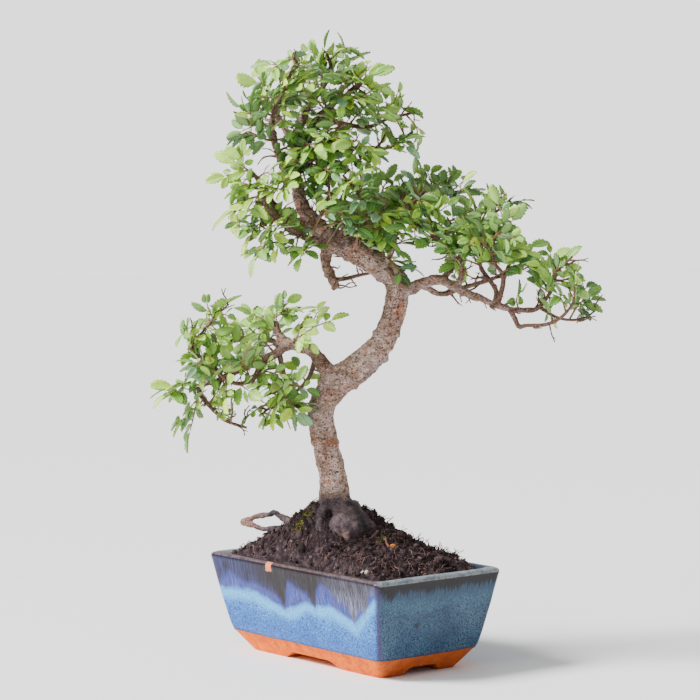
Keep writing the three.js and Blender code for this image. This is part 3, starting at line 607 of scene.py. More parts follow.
def wood_core():
    """The trunk, roots and thicker limbs, grown into one another."""
    core = Builder()
    for limb in [*limbs.values(), *roots.values()]:
        share = np.linspace(0, 1, max(8, int(limb.curve.length / 2.5)))
        radius = limb.radius(share)
        keep = radius >= THICK_ENOUGH
        if keep.sum() < 4:
            continue
        end = len(share) if keep.all() else np.argmin(keep)
        core.add(*tube(limb.curve.at(share[:end]), radius[:end], 18))
    for u, v, z, radius, height in SWELLINGS:
        vertices, faces = ball(3, radius)
        core.add(vertices * (1, 1, height) + in_tree_frame([u, v, z]), faces)
    rough = core.piece("wood_core")
    remesh = rough.modifiers.new("remesh", "REMESH")
    remesh.mode = "VOXEL"
    remesh.voxel_size = WOOD_VOXEL * MM
    smooth = rough.modifiers.new("smooth", "SMOOTH")
    smooth.factor = 0.5
    smooth.iterations = 5
    grown = evaluated_mesh(rough)
    bpy.data.objects.remove(rough)
    return grown


def read(collection, field, width, kind):
    values = np.empty(len(collection) * width, kind)
    collection.foreach_get(field, values)
    return values


def mesh_arrays(mesh):
    """A mesh's vertices in millimetres, their normals, and its triangles and quads."""
    vertices = read(mesh.vertices, "co", 3, np.float32).reshape(-1, 3) / MM
    normals = read(mesh.vertex_normals, "vector", 3, np.float32).reshape(-1, 3)
    loops = read(mesh.loops, "vertex_index", 1, np.int32)
    sizes = read(mesh.polygons, "loop_total", 1, np.int32)
    starts = np.concatenate([[0], np.cumsum(sizes)[:-1]])
    faces = [
        loops[starts[sizes == n][:, None] + np.arange(n)] for n in (3, 4) if (sizes == n).any()
    ]
    return vertices, normals, faces


def lumps(points, wavelength, stretch=(1, 1, 1), offset=0.0):
    """Soft noise from about -1 to 1 at points."""
    scaled = points * (np.array(stretch) / wavelength) + offset
    return np.array([noise.noise(Vector(p)) for p in scaled])


BULB = in_tree_frame(SWELLINGS[0])
GRAFT_HEIGHT = 178.5


def bell(away, width):
    """1 at no distance away, falling off over a width."""
    return np.exp(-(away / width) ** 2)


def ridged(points, wavelength, offset):
    """Noise with narrow raised ridges, from 0 to 1."""
    return (1 - np.abs(lumps(points, wavelength, offset=offset)) * 2.2).clip(0, 1) ** 2


def wood_zones(points):
    """How far each point is root crown, graft scar, and young wood."""
    height = points[:, 2]
    crown = np.clip((143 - height) / 15, 0, 1)
    tilt = 0.16 * points[:, 0] + 1.6 * lumps(points, 9, offset=3.3)
    scar = bell(height + tilt - GRAFT_HEIGHT, 2.6) * (height < 200)
    far = np.clip((np.hypot(points[:, 0], points[:, 1]) - 74) / 26, 0, 1) * (height < 125)
    return np.stack([crown, scar, far], -1)


def wood_relief(points):
    """How far the bark stands out: knobs and creases on the trunk, folds on the root crown."""
    height = points[:, 2]
    swell = 0.5 * lumps(points, 15, offset=3.7) + 0.45 * lumps(points, 6, (1, 1, 1.3), 9.1)
    knobs = np.clip(lumps(points, 4.2, offset=4.4) - 0.16, 0, 1) * 2.2
    creased = lumps(points, 12, offset=0.6) > -0.1
    creases = -0.55 * ridged(points * (0.5, 0.5, 1), 3.6, 7.3) * creased
    grain = 0.34 * lumps(points, 2.3, offset=2.4)
    rough = np.clip((height - 205) / 30, 0, 1) * 0.45 + 0.75
    trunk = rough * (swell + knobs * 0.75 + creases + grain)
    collar = 0.9 * bell(height - GRAFT_HEIGHT, 2.6) - 0.5 * bell(height - 173.5, 2)
    trunk = trunk + collar * (height < 200)
    folds = 0.7 * lumps(points, 8, offset=1.3) - 0.8 * ridged(points, 8, 5.1)
    folds = folds + 0.35 * lumps(points, 2.6, offset=6.2)
    blend = np.clip((139 - height) / 8, 0, 1)
    return trunk * (1 - blend) + folds * blend


def make_wood():
    wood = Builder()
    points, normals, faces = mesh_arrays(wood_core())
    points = points + normals * wood_relief(points)[:, None]
    zone = wood_zones(points)
    trunk = limbs["trunk"].curve.at(np.linspace(0.1, 1, 70))
    from_trunk = np.min([np.linalg.norm(points - place, axis=1) for place in trunk], axis=0)
    on_limb = np.clip((from_trunk - 13) / 9, 0, 1) * (points[:, 2] > 200)
    zone[:, 2] = np.maximum(zone[:, 2], 0.62 * on_limb)
    wood.add(points, faces, zone=zone)
    for limb in [*limbs.values(), *branchlets.values()]:
        share = np.linspace(0, 1, max(6, int(limb.curve.length / 2.0)))
        radius = limb.radius(share)
        thin = np.where(radius < THICK_ENOUGH + 0.3)[0]
        if len(thin) < 2:
            continue
        path = limb.curve.at(share[thin[0]:])
        wobble = 1 + 0.16 * lumps(path, 4, offset=2.2) + 0.14 * lumps(path, 1.9, offset=7.2)
        vertices, tube_faces = tube(path, radius[thin[0]:] * wobble, 8)
        zone = wood_zones(vertices)
        zone[:, 2] = 1
        wood.add(vertices, tube_faces, zone=zone)
    return wood.piece("wood_grown")


# Bare twigs: how many on each limb, and from what share of its length on.
TWIGS = {
    "trunk": (22, 0.66), "apex_right": (12, 0.1), "apex_left": (14, 0.1), "apex_top": (10, 0.1),
    "apex_back": (4, 0.2), "crown_left": (6, 0.2), "low_left": (8, 0.2), "spur": (9, 0.3),
    "spur_low": (8, 0.3), "right": (18, 0.25), "right_low": (3, 0.3), "right_tip": (3, 0.3),
    "right_up_far": (7, 0.1), "right_up_near": (7, 0.1), "right_mid": (12, 0.1),
    "right_back": (5, 0.3), "right_back_low": (3, 0.3), "crown_back_right": (4, 0.3),
    "left": (34, 0.2), "left_up": (7, 0.2), "left_back": (3, 0.3), "left_front": (4, 0.2),
    "left_under": (7, 0.2), "stub": (4, 0.5), "stub_side": (3, 0.4), "left_stub": (3, 0.4),
    "inner_top": (9, 0.2), "inner_front": (11, 0.2), "inner_right": (10, 0.2),
}


BARE_TRUNK = (318, 376)


def seen_from_front(point):
    """A point's way to the right and its depth, in the plane of the photo."""
    x, y = point[..., 0], point[..., 1]
    return x * TURN_COS + y * TURN_SIN, y * TURN_COS - x * TURN_SIN


def trunk_shown():
    """The stretch of the trunk, as (right, up) seen from the front, that the crown leaves bare."""
    points = limbs["trunk"].curve.at(np.linspace(0, 1, 400))
    seen = np.stack([seen_from_front(points)[0], points[:, 2]], -1)
    return seen[(seen[:, 1] > BARE_TRUNK[0]) & (seen[:, 1] < BARE_TRUNK[1])]


TRUNK_SHOWN = trunk_shown()


def hides_trunk(point):
    """True for a point in front of the bare stretch of the trunk."""
    u, v = seen_from_front(point)
    near = np.hypot(TRUNK_SHOWN[:, 0] - u, TRUNK_SHOWN[:, 1] - point[2] - 0.07 * v).min()
    return v < 8 and near < 10


TWIG_ZONE = [[0, 0, 1]]


def jitter(random, third=0.5):
    """A random vector whose third part lies between -third and 1 - third."""
    return np.array([random() - 0.5, random() - 0.5, random() - third])


def make_bare_twigs():
    """Short kinked twigs without leaves, some of them forked."""
    random = random_from(881)
    to_front = in_tree_frame([0.0, -0.22, 0.05])
    twigs = Builder()
    for name, (count, first) in TWIGS.items():
        limb = limbs[name]
        for i in range(count):
            share = lerp(first, 1, (i + random()) / count)
            start, ahead = limb.curve.at(share)[0], limb.curve.tangent(share)[0]
            around = jitter(random, 0.45) + to_front
            heading = unit(around - ahead * np.dot(around, ahead))
            heading = unit(heading + ahead * (0.2 + 0.6 * random()))
            reach = lerp(8, 22, random())
            thick = lerp(0.65, 1.35, random() ** 1.4)
            path = [start]
            for _ in range(3):
                kink = jitter(random, 0.4) * 0.95
                path.append(path[-1] + unit(heading + kink) * reach / 3)
            share = np.linspace(0, 1, 9)
            buds = 1 + 0.3 * (np.arange(9) % 3 == 2)
            vertices, faces = tube(Curve(path).at(share), lerp(thick, 0.38, share) * buds, 6)
            twigs.add(vertices, faces, zone=TWIG_ZONE)
            if random() < 0.5:
                side = unit(heading + unit(jitter(random)) * 0.9)
                fork = path[2] + side * lerp(3, 7, random())
                path = np.array([path[2], lerp(path[2], fork, 0.5), fork])
                twigs.add(*tube(path, np.array([0.5, 0.45, 0.36]), 5), zone=TWIG_ZONE)
    return twigs.piece("bare_twigs")


# ------------------------------------------------------------------ sprays, as in the part's source

LEAF_CUP = 0.14
LEAF_DROOP = 0.16
LEAF_LENGTH = (16, 22)
LEAF_WIDTH_RATIO = 0.6
TWIG_LENGTH = 33
SPRAY_TRIES = 12
SPRAY_SEED = 11


def springing_point(limb, tip, taken, wanted):
    """Where a spray springs from its limb: the point whose distance to the tip is as wanted."""
    end = limb.curve.at(1)[0]
    if not taken and 14 < np.linalg.norm(end - tip) < 34:
        return end
    points = limb.curve.at(np.arange(14, 49) / 48)
    free = [
        point for point in points if all(np.linalg.norm(other - point) >= 6 for other in taken)
    ]
    return min(free, key=lambda point: abs(np.linalg.norm(point - tip) - wanted))


class Twig:
    """A twig's curve, with the way its leaves face."""

    def __init__(self, points, face):
        self.curve = Curve(points)
        self.face = np.array(face, float)
        self.length = self.curve.length

    def axes(self, distance):
        share = min(max(distance / self.length, 0), 1)
        origin, ahead = self.curve.at(share)[0], self.curve.tangent(share)[0]
        face = unit(self.face - ahead * np.dot(self.face, ahead))
        return origin, ahead, face, np.cross(face, ahead)


def leaves_for(twig, random):
    """The leaves that the part's source draws for a twig."""
    leafy = twig.length - twig.bare - 7
    rows = min(max(math.ceil(leafy / 10.5), 1), 3)
    pitch = leafy / (rows - 0.5) if rows > 1 else 12
    leaves = []
    for i in range(rows * 2):
        leaf = {"side": 1 if i % 2 == 0 else -1}
        leaf["at"] = twig.bare + i * pitch / 2 + 0.8 * (random() - 0.5)
        leaf["angle"] = 0.98 + 0.25 * (random() - 0.5)
        leaf["length"] = lerp(*LEAF_LENGTH, random())
        leaf["width"] = min(leaf["length"] * LEAF_WIDTH_RATIO, max(pitch, 9) * 0.84)
        leaf["lift"] = 0.7 * (random() - 0.42)
        leaf["roll"] = 0.7 * (random() - 0.5)
        leaves.append(leaf)
    length = lerp(*LEAF_LENGTH, random())
    leaves.append({
        "at": twig.length - 1, "side": 0, "angle": 0, "length": length,
        "width": length * LEAF_WIDTH_RATIO, "lift": 0.3 * (random() - 0.5), "roll": 0,
    })
    return leaves


def leaf_points(twig, leaf, out, over, level):
    """Where points of a leaf's blade lie: out from its root, over from its midrib."""
    origin, ahead, face, side = twig.axes(leaf["at"])
    c, s = math.cos(leaf["angle"]), math.sin(leaf["angle"])
    along = out * c + over * s
    if leaf["side"] == 0:
        across = -over
    else:
        across = leaf["side"] * (0.6 + out * s - over * c)
    height = level + leaf["lift"] * out + leaf["roll"] * over + LEAF_CUP * np.abs(over)
    height = height - LEAF_DROOP * out ** 2 / leaf["length"]
    return origin + along[:, None] * ahead + across[:, None] * side + height[:, None] * face


def twig_between(start, tip, random, spread):
    """A twig that sways and faces as the part's source draws it."""
    reach = np.linalg.norm(start - tip)

    def sway():
        return (random() - 0.5) * 2 * spread * reach

    middles = []
    for share in (0.35, 0.7):
        shift = np.array([sway(), sway(), sway() + 0.05 * reach])
        middles.append(lerp(start, tip, share) + shift)
    outward = unit(np.array([tip[0], tip[1], 0])) * 0.75
    face = np.array([random() - 0.5, random() - 0.5, 0.4 + 0.5 * random()]) + outward
    twig = Twig([start, *middles, tip], face)
    twig.bare = 7 if twig.length > 24 else 4
    return twig


def lies_on(solid, twig, leaf):
    """True when the leaf's tip lies on the spray's solid, so that the solid has the leaf."""
    out, over = np.array([leaf["length"]]), np.array([0.03 * leaf["width"]])
    end = leaf_points(twig, leaf, out, over, 0)[0]
    return np.linalg.norm(solid - end, axis=1).min() < 0.6


def sprays_of_part():
    """Each spray's twig and leaves, as the solid in the frame has them.

    The part's source draws a spray again until it fits. The draw that agrees with the solid in
    the most leaves is the one it took."""
    found = []
    seed = SPRAY_SEED
    for limb, tips in SPRAYS.items():
        taken = []
        for order, place in enumerate(tips):
            seed += 1
            name = "spray_%s_%d" % (limb, order + 1)
            solid = mesh_arrays(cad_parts[name].data)[0] - POT_MIDDLE
            tip = in_tree_frame(place)
            best = None
            for attempt in range(SPRAY_TRIES):
                start = springing_point(limbs[limb], tip, taken, TWIG_LENGTH - 2 * attempt)
                random = random_from(seed * 100 + attempt)
                twig = twig_between(start, tip, random, 0.06 + attempt * 0.01)
                kept = [leaf for leaf in leaves_for(twig, random) if lies_on(solid, twig, leaf)]
                if best is None or len(kept) > len(best[1]):
                    best = (twig, kept, start)
            taken.append(best[2])
            found.append((name, best[0], best[1], seed))
    return found


LEAF_ROWS = 12
LEAF_COLUMNS = 5


def leaf_template():
    """A toothed blade: places along it and across it, which skin each is on, and its faces."""
    rows, columns = LEAF_ROWS + 1, LEAF_COLUMNS
    along = np.linspace(0, 1, rows)
    half = np.sin(math.pi * along ** 1.02) ** 0.62
    across = np.linspace(-1, 1, columns)
    out = np.repeat(along[:, None], columns, 1)
    over = half[:, None] * across[None, :]
    notch = np.where(np.arange(rows) % 2 == 0, 0.8, 1.04)
    over[:, [0, -1]] *= notch[:, None]
    over[:, 0] *= 0.93
    lean = np.where(np.arange(rows) % 2 == 0, -0.008, 0.03)
    inside = (np.arange(rows) > 0) & (np.arange(rows) < rows - 1)
    out[:, [0, -1]] += (lean * inside)[:, None]
    index = np.arange(rows * columns).reshape(rows, columns)
    under = index.copy()
    inner = np.arange((rows - 2) * (columns - 2)).reshape(rows - 2, columns - 2)
    under[1:-1, 1:-1] = rows * columns + inner
    out_all = np.concatenate([out.ravel(), out[1:-1, 1:-1].ravel()])
    over_all = np.concatenate([over.ravel(), over[1:-1, 1:-1].ravel()])
    below = np.concatenate([np.zeros(rows * columns), np.ones(inner.size)])

    def cells(grid):
        corners = [grid[:-1, :-1], grid[:-1, 1:], grid[1:, 1:], grid[1:, :-1]]
        return np.stack(corners, -1).reshape(-1, 4)

    faces = np.vstack([cells(index), cells(under)[:, [0, 3, 2, 1]]])
    share = np.repeat(across[None], rows, 0)
    across_all = np.concatenate([share.ravel(), share[1:-1, 1:-1].ravel()])
    uv = np.stack([across_all * 0.5 + 0.5, out_all], -1)
    return out_all, over_all, below, uv, faces


LEAF_OUT, LEAF_OVER, LEAF_BELOW, LEAF_UV, LEAF_FACES = leaf_template()


def add_leaf(builder, twig, leaf, random, tone):
    """A fine leaf with its stalk; tone is the spray's tint with painted light, which each leaf
    strays from.
    """
    length, width = leaf["length"], leaf["width"]
    stalk = min(1.8, 0.12 * length)
    out = stalk + LEAF_OUT * (length - stalk)
    over = LEAF_OVER * width / 2
    ripple = 0.3 * (2 * random() - 1) * np.sin(LEAF_OUT * (6 + 5 * random()) + 6.28 * random())
    groove = -0.2 * bell(LEAF_OVER, 0.16)
    fold = (0.02 + 0.3 * random()) * np.abs(over)
    curl = (random() - 0.6) * 0.9 * LEAF_OUT ** 2
    level = ripple * np.abs(LEAF_OVER) + groove + fold + curl - 0.2 * LEAF_BELOW
    vertices = leaf_points(twig, leaf, out, over, level)
    tint = min(max(tone + 0.56 * (random() - 0.5), 0), 0.84)
    if random() < 0.09:
        tint = 0.86 + 0.14 * random()
    shade = np.stack([np.full(len(out), tint), LEAF_BELOW, np.full(len(out), random())], -1)
    faces = LEAF_FACES[:, ::-1] if leaf["side"] < 0 else LEAF_FACES
    builder.add(vertices, faces, leaf_uv=LEAF_UV, leaf_tone=shade)
    ends = leaf_points(twig, leaf, np.array([0, stalk * 0.6, stalk + 0.6]), np.zeros(3), -0.1)
    add_stem(builder, *tube(ends, np.array([0.4, 0.32, 0.26]), 4), 0.25)


def add_free_leaf(builder, twig, leaf, random, tone):
    """A leaf that the part doesn't have, left out where it would hide the bare trunk."""
    middle = leaf_points(twig, leaf, np.array([0.6 * leaf["length"]]), np.zeros(1), 0)[0]
    if not hides_trunk(middle):
        add_leaf(builder, twig, leaf, random, tone)


def add_stem(builder, vertices, faces, shade):
    builder.add(vertices, faces, leaf_uv=[[0.5, 0.5]], leaf_tone=[[shade, 2, 0]])


def free_leaf(random, at, side, small):
    length = lerp(9, 19, random() ** 1.15) * small
    return {
        "at": at, "side": side, "angle": 0.7 + 0.6 * random(), "length": length,
        "width": length * lerp(0.5, 0.66, random()), "lift": 1.0 * (random() - 0.45),
        "roll": 1.1 * (random() - 0.5),
    }


def add_shoot(builder, random, origin, heading, face, reach, tone, thick):
    """A short side shoot with its leaves set in turn and one at its end."""
    bend = jitter(random, 0.3) * 0.28 * reach
    tip = origin + heading * reach
    if abs(np.dot(face, heading)) > 0.85:
        face = unit(face + np.array([0.5, -0.4, 0.9]))
    shoot = Twig([origin, lerp(origin, tip, 0.5) + bend, tip], face)
    add_stem(builder, *tapered(shoot.curve, 7, thick, 0.4, 5), 0.85)
    count = 2 + int(reach / 6.5)
    for k in range(count):
        place = lerp(reach * 0.22, reach * 0.92, k / (count - 1))
        small = lerp(1.05, 0.8, k / (count - 1))
        leaf = free_leaf(random, place, 1 if k % 2 else -1, small)
        add_free_leaf(builder, shoot, leaf, random, tone)
    leaf = free_leaf(random, shoot.length - 0.5, 0, 0.95)
    leaf.update(angle=0, roll=0.3 * (random() - 0.5), lift=0.5 * (random() - 0.5))
    add_free_leaf(builder, shoot, leaf, random, tone)


# How much painted light lightens or darkens a limb's leaves, by how its name begins.
PAINTED_LIMB_LIGHT = {
    "left": 0.32, "low_left": 0.26, "crown_left": 0.18, "right": 0.18, "spur": 0.16, "inner": 0.08,
    "apex": -0.05,
}


def tone_with_painted_light(random, limb):
    """A shade for a spray: a random tint with painted light that makes the side limbs lighter."""
    # The painted light for the limb, added to the random tint.
    shift = next((shade for start, shade in PAINTED_LIMB_LIGHT.items() if limb.startswith(start)), 0.0)
    return min(0.8, 0.85 * random() + shift)


def make_spray(name, twig, leaves, seed):
    """A spray of the part with fine leaves, and a few more leaves and side shoots."""
    random = random_from(seed * 977 + 5)
    builder = Builder()
    # The spray's tint: random, with the painted light of its limb.
    tone = tone_with_painted_light(random, name[len("spray_"):])
    add_stem(builder, *tapered(twig.curve, 14, 0.95, 0.45, 6), 0.9)
    for leaf in leaves:
        fine = dict(leaf, length=leaf["length"] * 0.96, width=leaf["width"] * 0.9)
        add_leaf(builder, twig, fine, random, tone)
    for i in range(3):
        at = lerp(twig.bare, twig.length - 2, (i + random()) / 3)
        leaf = free_leaf(random, at, 1 if random() < 0.5 else -1, 0.9)
        add_free_leaf(builder, twig, leaf, random, tone)
    shoots = 2 if twig.length < 28 else 3
    for i in range(shoots):
        at = lerp(twig.bare * 0.8, twig.length * 0.86, (i + 0.6 * random()) / shoots)
        origin, ahead, face, side = twig.axes(at)
        turn = (1 if i % 2 == 0 else -1) * (0.6 + 0.9 * random())
        above = 0.9 if random() < 0.7 else -0.8
        across = math.cos(turn) * face * above + math.sin(turn) * side
        heading = unit(ahead * (0.35 + 0.5 * random()) + across)
        own_face = unit(face + 0.8 * jitter(random, 0.2))
        add_shoot(builder, random, origin, heading, own_face, lerp(11, 20, random()), tone, 0.6)
    return builder.piece(name + "_fine")


# Limbs that bear short leafy shoots all along: how many, from what share of the length on, how much
# the shoots point up, and the way they lean as [u, v, z].
SHOOTS = {
    "trunk": (18, 0.66, 0.3, (0.4, -0.8, 0.3)),
    "apex_right": (9, 0.2, 0.2, (0.2, -0.5, 0.1)),
    "apex_left": (9, 0.15, 0.0, (0.1, -0.5, 0.0)),
    "apex_top": (5, 0.2, 0.3, (0.0, -0.3, 0.2)),
    "apex_back": (4, 0.3, 0.2, (0.0, 0.3, 0.0)),
    "crown_left": (7, 0.2, 0.0, (0.0, -0.4, -0.2)),
    "low_left": (8, 0.2, 0.0, (0.1, -0.4, 0.0)),
    "spur": (8, 0.15, 0.1, (0.0, -0.3, 0.1)),
    "spur_low": (9, 0.15, 0.0, (0.0, -0.4, 0.0)),
    "inner_top": (9, 0.15, 0.2, (0.3, -0.6, 0.1)),
    "inner_front": (14, 0.1, 0.2, (0.3, -0.7, 0.1)),
    "inner_right": (14, 0.1, 0.2, (0.3, -0.6, 0.1)),
    "inner_mid": (8, 0.2, 0.2, (0.2, -0.5, 0.1)),
    "inner_low": (7, 0.3, 0.1, (0.0, -0.5, 0.2)),
    "inner_wide": (8, 0.2, 0.2, (0.1, -0.5, 0.2)),
    "inner_fill": (9, 0.2, 0.4, (0.1, -0.4, 0.3)),
    "inner_end": (7, 0.2, 0.4, (0.0, -0.4, 0.3)),
    "crown_back": (6, 0.3, 0.4, (-0.2, 0.3, 0.3)),
    "crown_back_right": (12, 0.15, 0.4, (0.1, -0.3, 0.3)),
    "right": (4, 0.55, 0.9, (0.0, -0.2, 0.7)),
    "right_back": (11, 0.3, 0.5, (-0.1, -0.3, 0.4)),
    "right_back_low": (4, 0.4, 0.7, (0.0, 0.0, 0.5)),
    "right_mid": (8, 0.45, 0.5, (-0.2, -0.4, 0.4)),
    "right_up_far": (6, 0.5, 0.4, (0.0, -0.3, 0.3)),
    "right_up_near": (6, 0.5, 0.4, (-0.1, -0.3, 0.3)),
    "right_low": (3, 0.5, 0.5, (0.0, 0.0, 0.3)),
    "left": (11, 0.35, 0.3, (0.0, -0.3, 0.2)),
    "left_up": (6, 0.2, 0.0, (0.2, -0.1, 0.0)),
    "left_back": (5, 0.2, 0.3, (0.0, 0.1, 0.1)),
    "left_front": (4, 0.2, 0.0, (0.2, -0.2, -0.1)),
    "left_under": (7, 0.2, -0.2, (0.1, -0.2, -0.1)),
    "left_under_back": (5, 0.2, 0.0, (0.0, 0.1, 0.0)),
    "inner_gap": (8, 0.15, 0.1, (0.2, -0.4, 0.0)),
}


def make_shoots(name, order):
    """The shoots along one limb."""
    count, first, upward, lean = SHOOTS[name]
    random = random_from(5000 + 31 * order)
    builder = Builder()
    limb = limbs.get(name) or branchlets[name]
    lean = in_tree_frame(np.array(lean))
    for i in range(count):
        share = lerp(first, 0.97, (i + random()) / count)
        start, ahead = limb.curve.at(share)[0], limb.curve.tangent(share)[0]
        around = jitter(random) * 1.5
        heading = around + lean + UP * upward
        heading = unit(heading - ahead * np.dot(heading, ahead) * 0.7)
        reach = lerp(12, 25, random())
        face = unit(np.array([start[0], start[1], 0]) * 0.01 + lean * 0.4 + UP * 0.7 + 0.9 * around)
        # Each shoot's tint is random, with the painted light of its limb.
        add_shoot(builder, random, start, heading, face, reach, tone_with_painted_light(random, name), 0.95)
    return builder.piece("shoots_" + name)


# ------------------------------------------------------------------ soil

TRUNK_FOOT = (-8.5, -10)
INNER_HALF = (99.2, 55.2)


def dent(x, y, place, depth, width):
    """A round hollow in the heap at a place [u, v]."""
    bared = in_tree_frame([*place, 0])
    return depth * np.exp(-((x - bared[0]) ** 2 + (y - bared[1]) ** 2) / (2 * width ** 2))


def wall_distance(dx, dy):
    """How far the pot's inner wall is from the trunk's foot in a direction."""
    with np.errstate(divide="ignore"):
        to_x = np.abs((np.sign(dx) * INNER_HALF[0] - TRUNK_FOOT[0]) / dx)
        to_y = np.abs((np.sign(dy) * INNER_HALF[1] - TRUNK_FOOT[1]) / dy)
    return np.minimum(to_x, to_y)


def soil_height(x, y):
    """The heap of the part's source."""
    dx, dy = x - TRUNK_FOOT[0] + 1e-6, y - TRUNK_FOOT[1] + 1e-6
    distance = np.hypot(dx, dy)
    angle = np.arctan2(dy, dx)
    share = np.minimum(distance / wall_distance(dx / distance, dy / distance), 1)
    bed = 21.7 * (1 - share ** 5.3)
    slope = 0.5 + 0.5 * np.cos(np.pi * np.minimum(distance / 119, 1))
    dome = 36.1 * slope ** 2.5 * (1 - share ** 5.7)
    lump = np.sin(7 * angle + distance * 0.31) * np.cos(3 * angle - distance * 0.47)
    lump = lump + 0.6 * np.sin(11 * angle - distance * 0.73)
    heap = 74 + bed + dome - dent(x, y, (-3, -37), 19, 17)
    return heap + 1.4 * lump * np.minimum(1, 4 * share)


def soil_surface(x, y):
    """The heap with its fine relief."""
    points = np.stack([x, y, np.zeros_like(x)], -1)
    relief = 1.9 * lumps(points, 9, offset=5.5) + 1.9 * lumps(points, 4.2, offset=8.1)
    heap = soil_height(x, y) - dent(x, y, (-29, -31), 9, 6.5)
    return heap + relief + 1.2 * lumps(points, 1.9, offset=2.9)


def ground(x, y):
    """The heap's height at one place."""
    return float(soil_surface(np.array([x]), np.array([y]))[0])


def rounded_ring(half_x, half_y, radius, around):
    """A rounded rectangle's outline; around counts the points of a corner, long and short side."""
    corner, long_side, short_side = around
    corners = [
        (1, -1, -90, short_side), (1, 1, 0, long_side), (-1, 1, 90, short_side),
        (-1, -1, 180, long_side),
    ]

    def place(sx, sy, degrees):
        a = math.radians(degrees)
        x = sx * (half_x - radius) + radius * math.cos(a)
        return np.array([x, sy * (half_y - radius) + radius * math.sin(a)])

    points = []
    for index, (sx, sy, start, after) in enumerate(corners):
        points += [place(sx, sy, start + 90 * k / (corner - 1)) for k in range(corner)]
        begin, end = points[-1], place(*corners[(index + 1) % 4][:3])
        points += [begin + (end - begin) * k / after for k in range(1, after)]
    return np.array(points)


def in_pot(x, y, inset):
    return (np.abs(x) < INNER_HALF[0] - inset) & (np.abs(y) < INNER_HALF[1] - inset)


def make_soil():
    """The heap, closed round its sides and below."""
    soil = Builder()
    ring = rounded_ring(INNER_HALF[0] - 0.4, INNER_HALF[1] - 0.4, 8.6, (6, 70, 38))
    around = len(ring)
    shares = np.linspace(0.004, 1, 82) ** 0.85
    foot = np.array(TRUNK_FOOT)
    grid = foot + (ring[None] - foot) * shares[:, None, None]
    x, y = grid[..., 0].ravel(), grid[..., 1].ravel()
    z = soil_surface(x, y)
    top = np.stack([x, y, z], -1)
    levels = [(0.985, 66), (0.93, 45), (0.88, 22), (0.83, 16), (0.02, 16)]
    sides = [
        np.column_stack([ring * scale, np.full(around, float(height))]) for scale, height in levels
    ]
    faces = [kind[:, ::-1] for kind in ring_faces(len(shares) + len(levels), around)]
    ends = [[*foot, top[0, 2]], [0, 0, levels[-1][1]]]
    soil.add(np.vstack([top, *sides, ends]), faces)
    return soil.piece("soil_heap")


def thrown(rng, points, place):
    """Points turned at random and moved to a place."""
    w, x, y, z = unit(rng.normal(size=4))
    turn = np.array([
        [1 - 2 * (y * y + z * z), 2 * (x * y - z * w), 2 * (x * z + y * w)],
        [2 * (x * y + z * w), 1 - 2 * (x * x + z * z), 2 * (y * z - x * w)],
        [2 * (x * z - y * w), 2 * (y * z + x * w), 1 - 2 * (x * x + y * y)],
    ])
    return points @ turn.T + place


def clear_of_crown(x, y, z):
    """True where a point isn't inside the trunk's foot or the bulb."""
    trunk = in_tree_frame([-14, 0, 0])
    lobe = in_tree_frame([-27, -24, 0])
    far = np.hypot(x - trunk[0], y - trunk[1]) > 15.5 and np.hypot(x - lobe[0], y - lobe[1]) > 6.5
    return far and np.linalg.norm(np.array([x, y, z]) - BULB) > 17.2


def clear_places(rng, half_x, half_y):
    """Random places on the heap, without end, that are clear of the root crown."""
    while True:
        x, y = rng.uniform(-half_x, half_x), rng.uniform(-half_y, half_y)
        z = ground(x, y)
        if clear_of_crown(x, y, z):
            yield x, y, z


# How many there are in all.
CRUMBS = 3300
CLODS = 250
FIBRES = 950


def make_crumbs():
    """Peat crumbs, bark bits and a few pale stones on the heap."""
    rng = np.random.default_rng(41)
    crumbs = Builder()
    base, faces = ball(1)
    for x, y, z in islice(clear_places(rng, 98, 54), CRUMBS):
        size = 0.5 + 1.9 * rng.random() ** 3
        stretch = np.array([1, rng.uniform(0.3, 0.9), rng.uniform(0.25, 0.7)])
        rough = 1 + 0.35 * (rng.random((len(base), 1)) - 0.5)
        vertices = thrown(rng, base * rough * stretch * size, (x, y, z + 0.25 * size))
        crumbs.add(vertices, faces, shade=rng.random())
    return crumbs.piece("soil_crumbs", smooth=False)


def make_clods():
    """Clods of peat that lie on the heap and are half sunk in it."""
    rng = np.random.default_rng(19)
    clods = Builder()
    base, faces = ball(2)
    for x, y, z in islice(clear_places(rng, 95, 51), CLODS):
        size = rng.uniform(1.4, 3.6)
        wave = 1 + 0.75 * lumps(base, 0.9, offset=rng.uniform(0, 50))[:, None]
        vertices = thrown(rng, base * wave * (1.2, 0.9, 0.75) * size, (x, y, z - 0.1 * size))
        clods.add(vertices, faces, shade=0.7 * rng.random())
    return clods.piece("soil_clods")


def make_tuft():
    """Wiry bits that stand up by the right end of the rim and along the heap's ridge."""
    rng = np.random.default_rng(3)
    tuft = Builder()
    spots = [(65, 34, 6, 44), (74, 41, 5, 26), (40, 30, 8, 24), (52, 28, 8, 16), (22, 21, 8, 12)]
    for cx, cy, spread, count in spots:
        for _ in range(count):
            x = np.clip(rng.normal(cx, spread * 0.6), -96, 96)
            y = np.clip(rng.normal(cy, spread * 0.6), -52, 52)
            z = ground(x, y) - 1
            if not clear_of_crown(x, y, z):
                continue
            way = unit(np.array([rng.normal(), rng.normal(), 0.6 + abs(rng.normal())]))
            length = rng.uniform(4, 11)
            path = [np.array([x, y, z])]
            for _ in range(4):
                way = unit(way + rng.normal(size=3) * 0.45)
                path.append(path[-1] + way * length / 4)
            thick = rng.uniform(0.25, 0.7)
            wire = tapered(Curve(path), 7, thick, thick / 2, 4)
            tuft.add(*wire, shade=0.45 * rng.random())
    return tuft.piece("soil_tuft")


